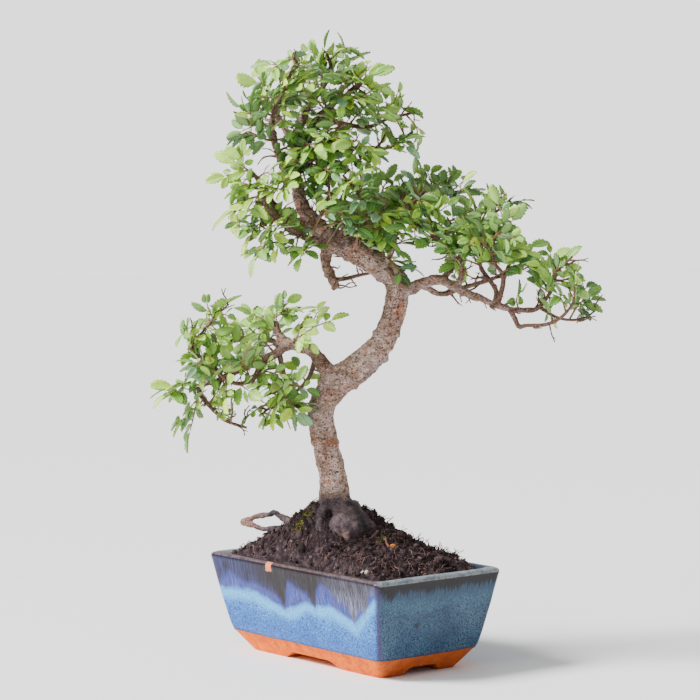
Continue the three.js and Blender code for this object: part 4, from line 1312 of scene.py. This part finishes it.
def make_pebbles():
    """The few larger stones."""
    rng = np.random.default_rng(7)
    pebbles = Builder()
    base, faces = ball(2)
    places = [
        (78, -50, 1.9, 0.9), (73, -50.5, 1.3, 0.7), (-20, -48, 1.0, 0.5), (20, 40, 1.6, 0.8),
        (-60, 38, 1.3, 0.9), (70, 34, 1.2, 0.7),
    ]
    for x, y, size, shade in places:
        z = ground(x, y)
        wave = 1 + 0.12 * np.sin(base @ rng.normal(size=3) * 3)[:, None]
        vertices = thrown(rng, base * wave * (1.2, 1, 0.75) * size, (x, y, z + 0.5 * size))
        pebbles.add(vertices, faces, shade=shade)
    return pebbles.piece("soil_pebbles")


def make_litter():
    """A brown stick that lies on the front slope, and an orange flake beside it."""
    litter = Builder()
    path = np.array([in_tree_frame([u, v, 0]) for u, v in ((26.5, -33), (27.5, -41), (29.5, -50))])
    path[:, 2] = soil_surface(path[:, 0], path[:, 1]) + (3.2, 2.6, 1.2)
    litter.add(*tapered(Curve(path), 9, 0.75, 1.1, 7), shade=0.2)
    base, faces = ball(2)
    wave = 1 + 0.25 * lumps(base, 1.2, offset=4.4)[:, None]
    flake = np.array([in_tree_frame(p) for p in base * wave * (2.5, 0.6, 2.0)])
    x, y, _ = in_tree_frame([32.5, -46, 0])
    litter.add(flake + (x, y, ground(x, y) + 1.2), faces, shade=0.9)
    return litter.piece("soil_litter")


def make_fibres():
    """Fine dead roots in the peat."""
    rng = np.random.default_rng(23)
    fibres = Builder()
    made = 0
    for x, y, _ in clear_places(rng, 95, 52):
        length = rng.uniform(4, 15)
        heading = rng.uniform(0, 2 * math.pi)
        bend = rng.uniform(-1.6, 1.6)
        t = np.linspace(0, 1, 7)
        turn = heading + bend * t + 0.5 * np.sin(6.28 * t + heading)
        px = x + np.cumsum(np.cos(turn)) * length / 7
        py = y + np.cumsum(np.sin(turn)) * length / 7
        if not in_pot(px, py, 2.5).all():
            continue
        arch = rng.uniform(0.3, 3.2) * np.sin(t * math.pi) + 0.25
        pz = soil_surface(px, py)
        pz = np.convolve(np.pad(pz, 1, mode="edge"), [0.25, 0.5, 0.25], "valid") + arch
        pz[[0, -1]] -= 0.8
        radius = rng.uniform(0.18, 0.5) * (1 - 0.4 * t)
        fibres.add(*tube(np.stack([px, py, pz], -1), radius, 3), shade=rng.random())
        made += 1
        if made == FIBRES:
            break
    return fibres.piece("soil_fibres")


def make_moss():
    """A cushion of moss on the left of the root crown, and thin patches elsewhere."""
    rng = np.random.default_rng(77)
    moss = Builder()
    base, faces = ball(1)
    patches = [
        ((-40, -12), 5.5, 560), ((-34, -2), 5, 180), ((-20, 22), 6, 240), ((12, 26), 5, 130),
        ((24, -31), 4, 90),
    ]
    for (u, v), spread, count in patches:
        cx, cy, _ = in_tree_frame([u, v, 0])
        for _ in range(count):
            x, y = rng.normal(cx, spread * 0.55), rng.normal(cy, spread * 0.55)
            z = ground(x, y)
            if not clear_of_crown(x, y, z):
                continue
            size = rng.uniform(0.28, 0.7)
            vertices = thrown(rng, base * (0.7, 0.7, 1.5) * size, (x, y, z + 0.35))
            moss.add(vertices, faces, shade=rng.random())
    return moss.piece("soil_moss")


# ------------------------------------------------------------------ pot

# Half length, half width, height and corner radius, from the foot to the rim and down inside.
POT_OUTSIDE = [
    [84.5, 41, 0, 9], [90.5, 46.5, 8, 8], [95.5, 51, 15, 7], [96.8, 52.4, 16.6, 6.5],
    [99.4, 55, 25, 6], [104.6, 60.4, 50, 5.5], [109.2, 65.2, 75, 5], [110, 66, 78, 5],
    [109.3, 65.3, 80.8, 5], [106.6, 62.6, 82, 6],
]
POT_INSIDE = [
    [103, 59, 81.7, 8], [101.2, 57.2, 80.2, 9], [99.6, 55.6, 76.5, 9], [92.5, 48.5, 45, 9],
    [86, 42, 19, 9], [81, 37, 14, 8],
]
POT_AROUND = (9, 36, 22)
FLOOR_TOP = 14
ARCH_HEIGHT = 6.4
DRAIN_X = (-46, 46)
DRAIN_RADIUS = 8.0


def smooth_levels(levels, fine):
    """Levels read along a curve through the given ones, so that the lip and foot are round."""
    curve = Curve([level[:3] for level in levels])
    share = np.linspace(0, 1, fine)
    at_levels = np.linspace(0, 1, len(levels))
    radii = np.interp(curve.parameter(share), at_levels, [level[3] for level in levels])
    return np.column_stack([curve.at(share), radii])


def cutter(vertices, faces):
    made = Builder()
    made.add(vertices, faces)
    return made.piece("cutter", smooth=False)


def arch_cutter(floor_half, top_half, length, turned):
    """A bar that cuts the arches between the feet along a side, or along an end when turned."""
    section = [
        (-floor_half - 2, -1), (floor_half + 2, -1), (top_half + 3, ARCH_HEIGHT - 0.8),
        (top_half, ARCH_HEIGHT), (-top_half, ARCH_HEIGHT), (-top_half - 3, ARCH_HEIGHT - 0.8),
    ]
    vertices = [
        (end, x, z) if turned else (x, end, z) for end in (-length / 2, length / 2)
        for x, z in section
    ]
    j = np.arange(6)
    k = (j + 1) % 6
    sides = np.stack([j, k, k + 6, j + 6], -1)
    caps = np.array([[5, 4, 3, 2, 1, 0], [6, 7, 8, 9, 10, 11]])
    if not turned:
        sides, caps = sides[:, ::-1], caps[:, ::-1]
    return cutter(vertices, [sides, caps])


def cut(piece, cutters):
    """Takes the cutters out of a piece and removes them."""
    for tool in cutters:
        modifier = piece.modifiers.new("cut", "BOOLEAN")
        modifier.operation = "DIFFERENCE"
        modifier.solver = "EXACT"
        modifier.object = tool
    mesh = evaluated_mesh(piece)
    piece.modifiers.clear()
    piece.data = mesh
    for tool in cutters:
        bpy.data.objects.remove(tool)


def make_pot():
    """The pot, slightly warped by the kiln, with its feet and drain holes."""
    outside = smooth_levels(POT_OUTSIDE, 58)
    inside = smooth_levels(POT_INSIDE, 30)
    levels = np.vstack([outside, inside])
    rings = []
    for half_x, half_y, height, radius in levels:
        ring = rounded_ring(half_x, half_y, radius, POT_AROUND)
        rings.append(np.column_stack([ring, np.full(len(ring), height)]))
    points = np.vstack(rings)
    around = len(rings[0])
    warp = 0.35 * lumps(points, 60, offset=1.7) + 0.12 * lumps(points, 14, offset=6.1)
    out = points.copy()
    out[:, 2] = 0
    out /= np.linalg.norm(out, axis=1)[:, None]
    lift = np.clip((points[:, 2] - 70) / 12, 0, 1) * 0.5 * lumps(points, 70, offset=4.2)
    points = points + out * (warp * (points[:, 2] > 17))[:, None] + UP * lift[:, None]
    inner = np.zeros(len(points) + 2)
    inner[len(outside) * around:] = 1
    pot = Builder()
    ends = [[0, 0, 0], [0, 0, FLOOR_TOP]]
    pot.add(np.vstack([points, ends]), ring_faces(len(levels), around), pot_inner=inner)
    piece = pot.piece("pot_fired")
    cutters = [arch_cutter(35.5, 23, 264, False), arch_cutter(18.5, 11, 440, True)]
    for x in DRAIN_X:
        path = np.array([[x, 0, z] for z in (-4.0, 2, 8, 14, 20)])
        cutters.append(cutter(*tube(path, np.full(len(path), DRAIN_RADIUS), 24)))
    cut(piece, cutters)
    return piece


# ------------------------------------------------------------------ materials

def leaf_material():
    n = Nodes("leaf")
    # The first part is each leaf's tint, which carries the painted light of its limb.
    tint, skin, age = n.split("Color", n.attribute("leaf_tone", "Color"))
    u, along, _ = n.split("XYZ", n.new("UVMap", {}, uv_map="leaf_uv"))
    across = abs(u * 2 - 1)
    position = n.position()
    green = n.ramp(
        tint, (0.0, 56, 98, 56), (0.18, 72, 116, 54), (0.4, 98, 144, 56), (0.62, 124, 170, 64),
        (0.8, 158, 204, 80), (0.97, 206, 230, 72),
    )
    bluish = n.step(age, 0.78, 0.9) * n.step(tint, 0.62, 0.4)
    green = n.mix(bluish * 0.7, green, rgba(138, 176, 146))
    blotch = n.noise(position, 260, 2)
    green = n.mix(n.step(blotch, 0.35, 0.75) * 0.3, green, rgba(54, 98, 32))
    rib = n.step(across, 0.075, 0.02)
    slant = n.math("FRACT", (along - across * 0.2) * 9)
    vein = n.step(abs(slant - 0.5), 0.14, 0.03) * n.step(across, 0.98, 0.6)
    green = n.mix(rib * 0.5, green, rgba(186, 212, 124))
    green = n.mix(vein * 0.2, green, rgba(160, 194, 100))
    pale = n.mix(0.4, green, rgba(146, 182, 110))
    under = n.step(skin, 0.35, 0.65)
    color = n.mix(under, green, pale)
    stem = n.step(skin, 1.3, 1.7)
    stem_color = n.mix(tint, rgba(132, 152, 66), rgba(126, 84, 60))
    color = n.mix(stem, color, stem_color)
    height = n.noise(position, 900, 3) * 0.5 - rib - vein * 0.6
    normal = n.bump(height, 0.4, 0.0004)
    rough = n.mix_value(under, 0.36, 0.6)
    return n.finish(Base_Color=color, Roughness=rough, Normal=normal, Specular_IOR_Level=0.5)


def bark_material():
    n = Nodes("bark")
    position = n.position()
    crown, scar, young = n.split("Color", n.attribute("zone", "Color"))
    flat = n.squeezed(position, 1.9)
    large = n.noise(position, 34, 4, 0.6)
    middle = n.noise(flat, 150, 4, 0.65)
    fine = n.noise(flat, 620, 4, 0.7)
    tone = large * 0.34 + middle * 0.34 + fine * 0.58
    color = n.ramp(
        tone, (0.46, 60, 38, 32), (0.54, 114, 84, 74), (0.61, 172, 140, 128), (0.68, 216, 186, 174),
        (0.79, 244, 224, 214),
    )
    brown = n.noise(position, 58, 5, 0.68)
    color = n.mix(n.step(brown, 0.5, 0.66) * 0.6, color, rgba(118, 80, 62))
    warm = n.noise(position, 120, 4, 0.6)
    color = n.mix(n.step(warm, 0.52, 0.64) * 0.6, color, rgba(176, 112, 74))
    grey = n.noise(position, 46, 3)
    color = n.mix(n.step(grey, 0.52, 0.66) * 0.45, color, rgba(138, 126, 130))

    def dotted(scale, least, share):
        distance = n.voronoi(position, scale)
        chosen = n.split("Color", n.voronoi(position, scale, "Color"))[0]
        size = chosen * 0.32 + 0.08
        inside = n.step(distance - size, 0.04, -0.06)
        return inside * n.step(chosen, least, least + 0.08) * share

    dot = n.math("MAXIMUM", dotted(380, 0.3, 0.8), dotted(700, 0.35, 0.75))
    color = n.mix(dot, color, rgba(58, 32, 26))
    wrinkle = n.noise(n.squeezed(position, 5), 75, 4, 0.6)
    color = n.mix(n.step(wrinkle, 0.6, 0.7) * 0.45, color, rgba(72, 48, 40))
    scar_ring = scar * n.step(n.noise(flat, 130, 4, 0.6), 0.38, 0.54)
    color = n.mix(scar_ring * 0.8, color, rgba(168, 92, 54))
    twig = n.mix(n.step(fine, 0.35, 0.7), rgba(74, 46, 38), rgba(142, 106, 88))
    color = n.mix(young * 0.85, color, twig)
    # Painted shade under the crown: the older bark darker from 345 mm up.
    height = n.split("XYZ", position)[2]
    painted_crown_shade = n.step(height, 0.345, 0.39) * (1 - young)
    color = n.mix(painted_crown_shade * 0.36, color, rgba(80, 58, 48))
    root_tone = fine * 0.35 + n.noise(position, 70, 5, 0.65) * 0.75
    root = n.ramp(
        root_tone, (0.38, 28, 22, 23), (0.49, 58, 48, 52), (0.6, 98, 83, 86), (0.74, 158, 134, 130),
    )
    patch_at = tuple(in_tree_frame([-9, -32, 100]) * MM)
    near = n.distance(position, patch_at)
    blush = n.step(near, 0.015, 0.004) * n.step(n.noise(position, 130, 3), 0.35, 0.6)
    root = n.mix(blush * 0.6, root, rgba(186, 150, 140))
    tip_color = n.mix(n.step(fine, 0.4, 0.6), rgba(116, 84, 74), rgba(178, 136, 118))
    root = n.mix(young * 0.85, root, tip_color)
    edge = crown + (n.noise(position, 85, 5, 0.7) * 1.3 - 0.65)
    collar = n.step(edge, -0.15, 0.2) * n.step(n.noise(position, 210, 4, 0.7), 0.35, 0.6)
    color = n.mix(collar * 0.7, color, rgba(112, 92, 66))
    color = n.mix(n.step(edge, 0.15, 0.75), color, root)
    relief = fine * 0.8 + middle * 1.3 + dot * 0.7 - n.step(wrinkle, 0.58, 0.7) * 0.6
    normal = n.bump(relief, 1.0, 0.0015)
    return n.finish(Base_Color=color, Roughness=0.74, Normal=normal, Specular_IOR_Level=0.25)


def soil_material(name, stops, coarse=False):
    n = Nodes(name)
    position = n.position()
    if coarse:
        tone = n.noise(position, 180, 5, 0.7) * 0.7 + n.noise(position, 900, 3) * 0.3
    else:
        shade = n.attribute("shade")
        tone = n.noise(position, 500, 3) * 0.3 + shade * 0.8
    color = n.ramp(tone, *stops)
    height = n.noise(position, 520, 5, 0.7) + n.noise(position, 1500, 3)
    normal = n.bump(height, 0.9, 0.0008)
    return n.finish(Base_Color=color, Roughness=0.92, Normal=normal, Specular_IOR_Level=0.15)


HALF_X, HALF_Y = 110, 66
PERIMETER = 4 * (HALF_X + HALF_Y)
# Where each face starts on the way round, from the front right corner over the right face, and its
# length.
SPANS = {"right": (0, 132), "back": (132, 220), "left": (352, 132), "front": (484, 220)}
RIM_TOP = 82
DEEPEST = 60
# Depth in millimetres that the dark run reaches below the rim, and the middle of the pale wave
# under it, at a share of each face from its left end, seen from outside.
RUNS = {
    "front": [
        (0.005, 36), (0.02, 32), (0.04, 23), (0.075, 21), (0.12, 14), (0.17, 18), (0.22, 21),
        (0.27, 19), (0.33, 23), (0.385, 25), (0.415, 30), (0.435, 38), (0.452, 24), (0.475, 13),
        (0.53, 17), (0.585, 21), (0.608, 26), (0.622, 33), (0.638, 17), (0.67, 9), (0.705, 12),
        (0.76, 20), (0.808, 24), (0.83, 33), (0.842, 42), (0.856, 28), (0.882, 24), (0.915, 26),
        (0.935, 15), (0.96, 9), (0.985, 8),
    ],
    "right": [
        (0.01, 9), (0.06, 12), (0.11, 17), (0.16, 11), (0.25, 13), (0.33, 11), (0.42, 15),
        (0.5, 11), (0.6, 14), (0.7, 10), (0.8, 13), (0.9, 11), (0.985, 13),
    ],
    "back": [
        (0.02, 20), (0.07, 17), (0.09, 33), (0.12, 17), (0.25, 20), (0.31, 19), (0.33, 36),
        (0.35, 19), (0.5, 17), (0.56, 22), (0.585, 38), (0.61, 20), (0.75, 18), (0.82, 20),
        (0.845, 32), (0.87, 19), (0.98, 16),
    ],
    "left": [
        (0.02, 16), (0.1, 17), (0.13, 28), (0.17, 15), (0.4, 15), (0.5, 18), (0.53, 30), (0.56, 16),
        (0.8, 16), (0.88, 17), (0.91, 27), (0.94, 17), (0.985, 24),
    ],
}
WAVES = {
    "front": [
        (0, 31), (0.08, 35), (0.15, 32), (0.22, 31), (0.3, 33), (0.37, 37), (0.44, 42), (0.5, 37),
        (0.57, 30), (0.63, 34), (0.7, 31), (0.77, 35), (0.84, 42), (0.9, 31), (0.96, 19), (1, 15),
    ],
    "right": [(0.04, 18), (0.3, 22), (0.6, 21), (0.95, 22)],
    "back": [
        (0.05, 32), (0.2, 37), (0.33, 42), (0.45, 32), (0.58, 43), (0.7, 34), (0.85, 38), (0.95, 30)
    ],
    "left": [(0.05, 30), (0.3, 33), (0.53, 38), (0.75, 31), (0.95, 34)],
}


def pot_material():
    n = Nodes("pot_glaze")
    position = n.position()
    inner = n.attribute("pot_inner")
    x, y, z = (part / MM for part in n.split("XYZ", position))
    past_corner = abs(x) - abs(y) - (HALF_X - HALF_Y)
    on_end = past_corner > 0
    on_right = x > 0
    on_front = y < 0
    end_run = n.mix_value(on_right, SPANS["left"][0] + HALF_Y - y, y + HALF_Y)
    front_middle = SPANS["front"][0] + HALF_X
    side_run = n.mix_value(on_front, SPANS["back"][0] + HALF_X - x, x + front_middle)
    run = n.mix_value(on_end, side_run, end_run) / PERIMETER
    depth = RIM_TOP - z
    turned = n.step(past_corner, -5.5, 4.5)
    # The right end face: its glaze and clay colours are darkened into painted shade.
    right_face_painted_shade = turned * on_right

    def depth_along(marks):
        points = []
        for face, pairs in marks.items():
            start, width = SPANS[face]
            points += [
                ((start + share * width) / PERIMETER, deep / DEEPEST) for share, deep in pairs
            ]
        return n.curve(run, sorted(points)) * DEEPEST

    runs, waves = depth_along(RUNS), depth_along(WAVES)
    round_way = run * PERIMETER
    streaks = n.noise(n.combine(round_way, depth * 0.08, 0.0), 0.42, 4, 0.65)
    thin_streaks = n.noise(n.combine(round_way, depth * 0.05, 4.0), 1.25, 3, 0.65)
    hair_streaks = n.noise(n.combine(round_way, depth * 0.045, 9.0), 2.6, 2, 0.6)
    ragged = runs + (streaks * 9 - 4.5) + (thin_streaks * 15 - 7.5) + (hair_streaks * 12 - 6)
    below_run = depth - ragged
    dark = n.step(below_run, 2.4, -2.4)
    hairs = n.math("MAXIMUM", n.step(thin_streaks, 0.5, 0.62), n.step(hair_streaks, 0.5, 0.64))
    fringe = n.step(below_run, 13, 1.5) * hairs
    wobble = n.noise(position, 60, 4, 0.6) * 9 - 4.5
    below_wave = depth - (waves + wobble)
    above_wave = n.step(below_wave, 0, -6)
    in_wave = n.step(below_wave, -7, -1) * n.step(below_wave, 9, 1)

    speck = n.noise(position, 860, 2, 0.65)
    spots = n.step(speck, 0.46, 0.56)
    cloud = n.noise(position, 45, 4)
    body_light = n.mix(n.step(cloud, 0.3, 0.7), rgba(74, 148, 216), rgba(54, 120, 194))
    body_low = n.mix(n.step(cloud, 0.3, 0.7), rgba(58, 122, 196), rgba(46, 102, 176))
    body_light = n.mix(n.step(depth, 38, 58), body_light, body_low)
    # On the right face the body and its spots are darker and duller: painted shade.
    body_painted_shade = n.mix(n.step(cloud, 0.3, 0.7), rgba(72, 104, 128), rgba(52, 80, 108))
    body = n.mix(right_face_painted_shade, body_light, body_painted_shade)
    body = n.mix(spots * 0.85, body, n.mix(right_face_painted_shade, rgba(18, 46, 112), rgba(18, 32, 52)))
    dapple = n.step(n.noise(position, 620, 3, 0.7), 0.46, 0.6)
    violet = n.mix(n.step(streaks, 0.38, 0.66), rgba(42, 68, 156), rgba(84, 68, 128))
    violet = n.mix(n.step(thin_streaks, 0.52, 0.62) * 0.6, violet, rgba(96, 150, 214))
    violet = n.mix(n.step(hair_streaks, 0.54, 0.42) * 0.62, violet, rgba(30, 28, 62))
    violet = n.mix(dapple * 0.35, violet, rgba(28, 44, 112))
    # Painted shade: the violet darker and duller on the right face.
    violet = n.mix(right_face_painted_shade, violet, rgba(46, 74, 100))
    pale = n.mix(n.math("MAXIMUM", spots, dapple) * 0.5, rgba(96, 184, 232), rgba(34, 98, 180))
    # Painted shade: the pale wave darker and duller on the right face.
    pale = n.mix(right_face_painted_shade, pale, n.mix(spots * 0.6, rgba(66, 104, 130), rgba(24, 44, 66)))
    color = n.mix(above_wave, body, violet)
    color = n.mix(in_wave * n.mix_value(right_face_painted_shade, 0.9, 0.6), color, pale)
    # The hairs under the dark run; on the right face they are darker, as painted shade.
    color = n.mix(
        fringe * n.mix_value(right_face_painted_shade, 0.5, 0.75), color,
        n.mix(right_face_painted_shade, rgba(62, 64, 116), rgba(38, 46, 58)),
    )
    dark_color = n.mix(n.step(streaks, 0.35, 0.7), rgba(22, 17, 19), rgba(40, 33, 36))
    light_streaks = n.step(thin_streaks, 0.56, 0.7) * n.step(streaks, 0.46, 0.62)
    dark_color = n.mix(light_streaks * 0.38, dark_color, rgba(96, 98, 116))
    blue_end = n.step(run, 0.82, 0.7) * n.step(run, 0.66, 0.69)
    blue_end = blue_end * n.step(streaks + hair_streaks, 0.86, 1.1)
    dark_color = n.mix(blue_end * 0.5, dark_color, rgba(60, 70, 138))
    upward = n.step(below_run, -11, -1) * n.step(hair_streaks, 0.55, 0.66) * (1 - right_face_painted_shade)
    dark_color = n.mix(upward * 0.6, dark_color, rgba(66, 82, 150))
    milky = n.step(abs(run - 0.944), 0.042, 0.012)
    milky = milky * n.step(depth, 10, 18) * n.step(thin_streaks, 0.46, 0.58)
    dark_color = n.mix(milky * 0.62, dark_color, rgba(132, 138, 166))
    from_corner = abs(past_corner)
    # A painted highlight: paler blue in the dark run beside the right corners, near the rim.
    painted_corner_highlight = n.step(from_corner, 15, 6) * n.step(depth, 4, 12) * (on_right * (1 - right_face_painted_shade))
    dark_color = n.mix(painted_corner_highlight * 0.7, dark_color, rgba(68, 82, 128))
    misty = n.step(run, 0.885, 0.93) * n.step(hair_streaks + thin_streaks, 0.84, 1.16)
    dark_color = n.mix(misty * 0.46, dark_color, rgba(112, 112, 134))
    # Painted shade: the dark run nearly black on the right face.
    dark_color = n.mix(right_face_painted_shade * 0.85, dark_color, rgba(22, 18, 24))
    color = n.mix(dark, color, dark_color)

    # A brown seam down each corner, where the glaze is thin.
    corner = n.step(from_corner + n.noise(position, 110, 4) * 5, 7.5, 2.5)
    color = n.mix(corner * 0.8, color, n.mix(cloud, rgba(52, 40, 66), rgba(84, 62, 104)))

    # The lip: a thin brownish line along the long sides, and a broad pale band along the ends.
    patchy = n.step(n.noise(position, 240, 4), 0.35, 0.7)
    lip = n.mix(
        turned, n.mix(patchy, rgba(104, 84, 84), rgba(66, 54, 58)),
        n.mix(patchy, rgba(140, 148, 150), rgba(98, 108, 116)),
    )
    lip_low = n.mix_value(turned, 1.5, 3.6)
    below_lip = depth - lip_low
    color = n.mix(n.step(below_lip, 0.7, -0.7) * 0.85, color, lip)
    second_line = n.step(below_lip, -0.3, 0.8) * n.step(below_lip, 3.0, 1.4)
    color = n.mix(second_line * 0.6, color, rgba(24, 17, 20))
    pits = n.step(n.voronoi(position, 150), 0.09, 0.05)
    color = n.mix(pits * 0.85, color, rgba(36, 30, 34))
    inside = n.mix(n.step(cloud, 0.3, 0.7), rgba(30, 42, 62), rgba(16, 28, 48))
    inside_lip = n.mix(turned, rgba(34, 48, 70), lip)
    inside = n.mix(n.step(depth, 1.0, 4.0), inside_lip, inside)
    color = n.mix(inner, color, inside)

    # Bare clay below the glaze, and a chip on the front rim.
    clay_noise = n.noise(position, 130, 5, 0.6)
    clay = n.ramp(clay_noise, (0.3, 206, 86, 8), (0.55, 236, 112, 12), (0.8, 246, 132, 22))
    grime = n.step(n.noise(position, 85, 5, 0.7), 0.5, 0.68) * 0.55
    clay = n.mix(grime, clay, rgba(150, 62, 30))
    flecks = n.step(n.voronoi(position, 230), 0.2, 0.1)
    clay = n.mix(flecks * 0.8, clay, rgba(70, 40, 34))
    # Painted shade: the bare clay darker on the right face.
    clay = n.mix(right_face_painted_shade * 0.55, clay, rgba(88, 44, 36))
    edge_wave = n.noise(position, 32, 3) * 2.4 - 1.2
    bottom = z - 16.4 + edge_wave
    outline = n.step(bottom, 2.4, 0.2) * n.step(bottom, -1.0, 0.1)
    color = n.mix(outline * 0.75, color, rgba(44, 38, 60))
    bare = n.step(bottom, 0.35, -0.35) * (1 - inner)
    color = n.mix(bare, color, clay)
    chip_x = abs(x + 29)
    chip_wave = n.noise(position, 420, 3) * 2.2
    chip = n.step(chip_x + chip_wave, 5.2, 4.4) * n.step(depth + chip_wave, 8.8, 7.8)
    chip = chip * n.step(y, -62.5, -63.5)
    color = n.mix(chip, color, rgba(222, 128, 82))
    raw = n.math("MAXIMUM", bare, chip)
    mark_distance = n.distance(n.combine(round_way, depth, 0.0), (47.0, 39.0, 0.0))
    mark = n.step(mark_distance + n.noise(position, 260, 3) * 5, 5.2, 4.0)
    color = n.mix(mark * right_face_painted_shade * 0.8, color, rgba(24, 30, 42))

    height = n.noise(position, 60, 3) * 0.7 + speck * 0.12 - pits * 0.7 - raw * 0.6
    height = height + raw * clay_noise * 0.8
    normal = n.bump(height, 0.5, 0.0009)
    rough = n.mix_value(raw, 0.2, 0.85)
    return n.finish(Base_Color=color, Roughness=rough, Normal=normal, Specular_IOR_Level=0.24)


def plain_material(name, color, roughness):
    n = Nodes(name)
    return n.finish(Base_Color=color, Roughness=roughness)


def screen_material():
    n = Nodes("drain_screen")
    position = n.position()
    grain = n.noise(position, 700, 2)
    color = n.mix(grain, rgba(22, 24, 24), rgba(38, 40, 40))
    return n.finish(Base_Color=color, Roughness=0.6)


# ------------------------------------------------------------------ the object

SHIFT = Vector(POT_MIDDLE) * MM


def dress(piece, material, replaced=()):
    piece.data.materials.clear()
    piece.data.materials.append(material)
    piece.location = SHIFT
    bpy.context.view_layer.update()
    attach(piece, "root")
    if replaced:
        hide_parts(*replaced)


leaf_look = leaf_material()
for name, twig, leaves, seed in sprays_of_part():
    dress(make_spray(name, twig, leaves, seed), leaf_look, [name])
for order, name in enumerate(SHOOTS):
    dress(make_shoots(name, order), leaf_look)

bark_look = bark_material()
dress(make_wood(), bark_look, ["wood"])
dress(make_bare_twigs(), bark_look)

peat = soil_material(
    "peat", [(0.32, 16, 12, 14), (0.48, 42, 32, 35), (0.62, 86, 70, 72), (0.8, 132, 110, 108)],
    coarse=True)
dress(make_soil(), peat, ["soil"])

# What lies on the heap: its material and that material's colours from dark to light.
LITTLE_THINGS = [
    ("peat_crumbs", [(0.1, 24, 18, 20), (0.5, 56, 44, 46), (0.8, 88, 70, 70), (0.97, 118, 96, 92)],
     [make_crumbs, make_clods]),
    ("peat_fibres", [(0.1, 34, 25, 26), (0.55, 78, 58, 57), (0.98, 138, 108, 96)],
     [make_fibres, make_tuft]),
    ("moss", [(0.1, 54, 56, 24), (0.5, 98, 98, 40), (0.9, 150, 146, 70)], [make_moss]),
    ("litter", [(0.3, 112, 82, 70), (0.6, 140, 92, 60), (0.85, 214, 122, 40)], [make_litter]),
    ("pebbles", [(0.3, 130, 112, 96), (0.8, 206, 190, 172)], [make_pebbles]),
]
for look, stops, makers in LITTLE_THINGS:
    material = soil_material(look, stops)
    for make in makers:
        dress(make(), material)

dress(make_pot(), pot_material(), ["pot"])

for name in ("drain_screen_left", "drain_screen_right"):
    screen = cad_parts[name]
    screen.data.materials.clear()
    screen.data.materials.append(screen_material())

# ------------------------------------------------------------------ floor and light

FLOOR_HALF = 6
CORNERS = [(-1, -1), (1, -1), (1, 1), (-1, 1)]

mesh = bpy.data.meshes.new("floor")
mesh.from_pydata([(x * FLOOR_HALF, y * FLOOR_HALF, 0) for x, y in CORNERS], [], [(0, 1, 2, 3)])
mesh.materials.append(plain_material("stage_white", (0.9, 0.9, 0.9, 1), 0.9))
plane = put("floor", mesh)

SKY_LIGHT = 0.6
SKY_SEEN = 2.0

world = bpy.data.worlds.new("studio")
world.use_nodes = True
sky = world.node_tree.nodes["Background"]
sky.inputs[0].default_value = (1, 1, 1, 1)
light_path = world.node_tree.nodes.new("ShaderNodeLightPath")
level = world.node_tree.nodes.new("ShaderNodeMath")
level.operation = "MULTIPLY_ADD"
level.inputs[1].default_value = SKY_SEEN - SKY_LIGHT
level.inputs[2].default_value = SKY_LIGHT
world.node_tree.links.new(light_path.outputs["Is Camera Ray"], level.inputs[0])
world.node_tree.links.new(level.outputs[0], sky.inputs[1])
bpy.context.scene.world = world


LAMP_AIM = Vector((0, 0, 0.25))


def add_lamp(name, kind, azimuth, elevation, power, distance=0):
    """A lamp that faces the tree, placed by its direction from it."""
    way = direction(azimuth, elevation)
    lamp = put_facing(name, bpy.data.lights.new(name, kind), LAMP_AIM + way * distance, way)
    lamp.data.energy = power
    return lamp


key = add_lamp("key", "SUN", -28, 43, 7.6)
key.data.angle = math.radians(20)
front_box = add_lamp("front_box", "AREA", 0, 30, 14, 1.8)
front_box.data.shape = "SQUARE"
front_box.data.size = 1.1
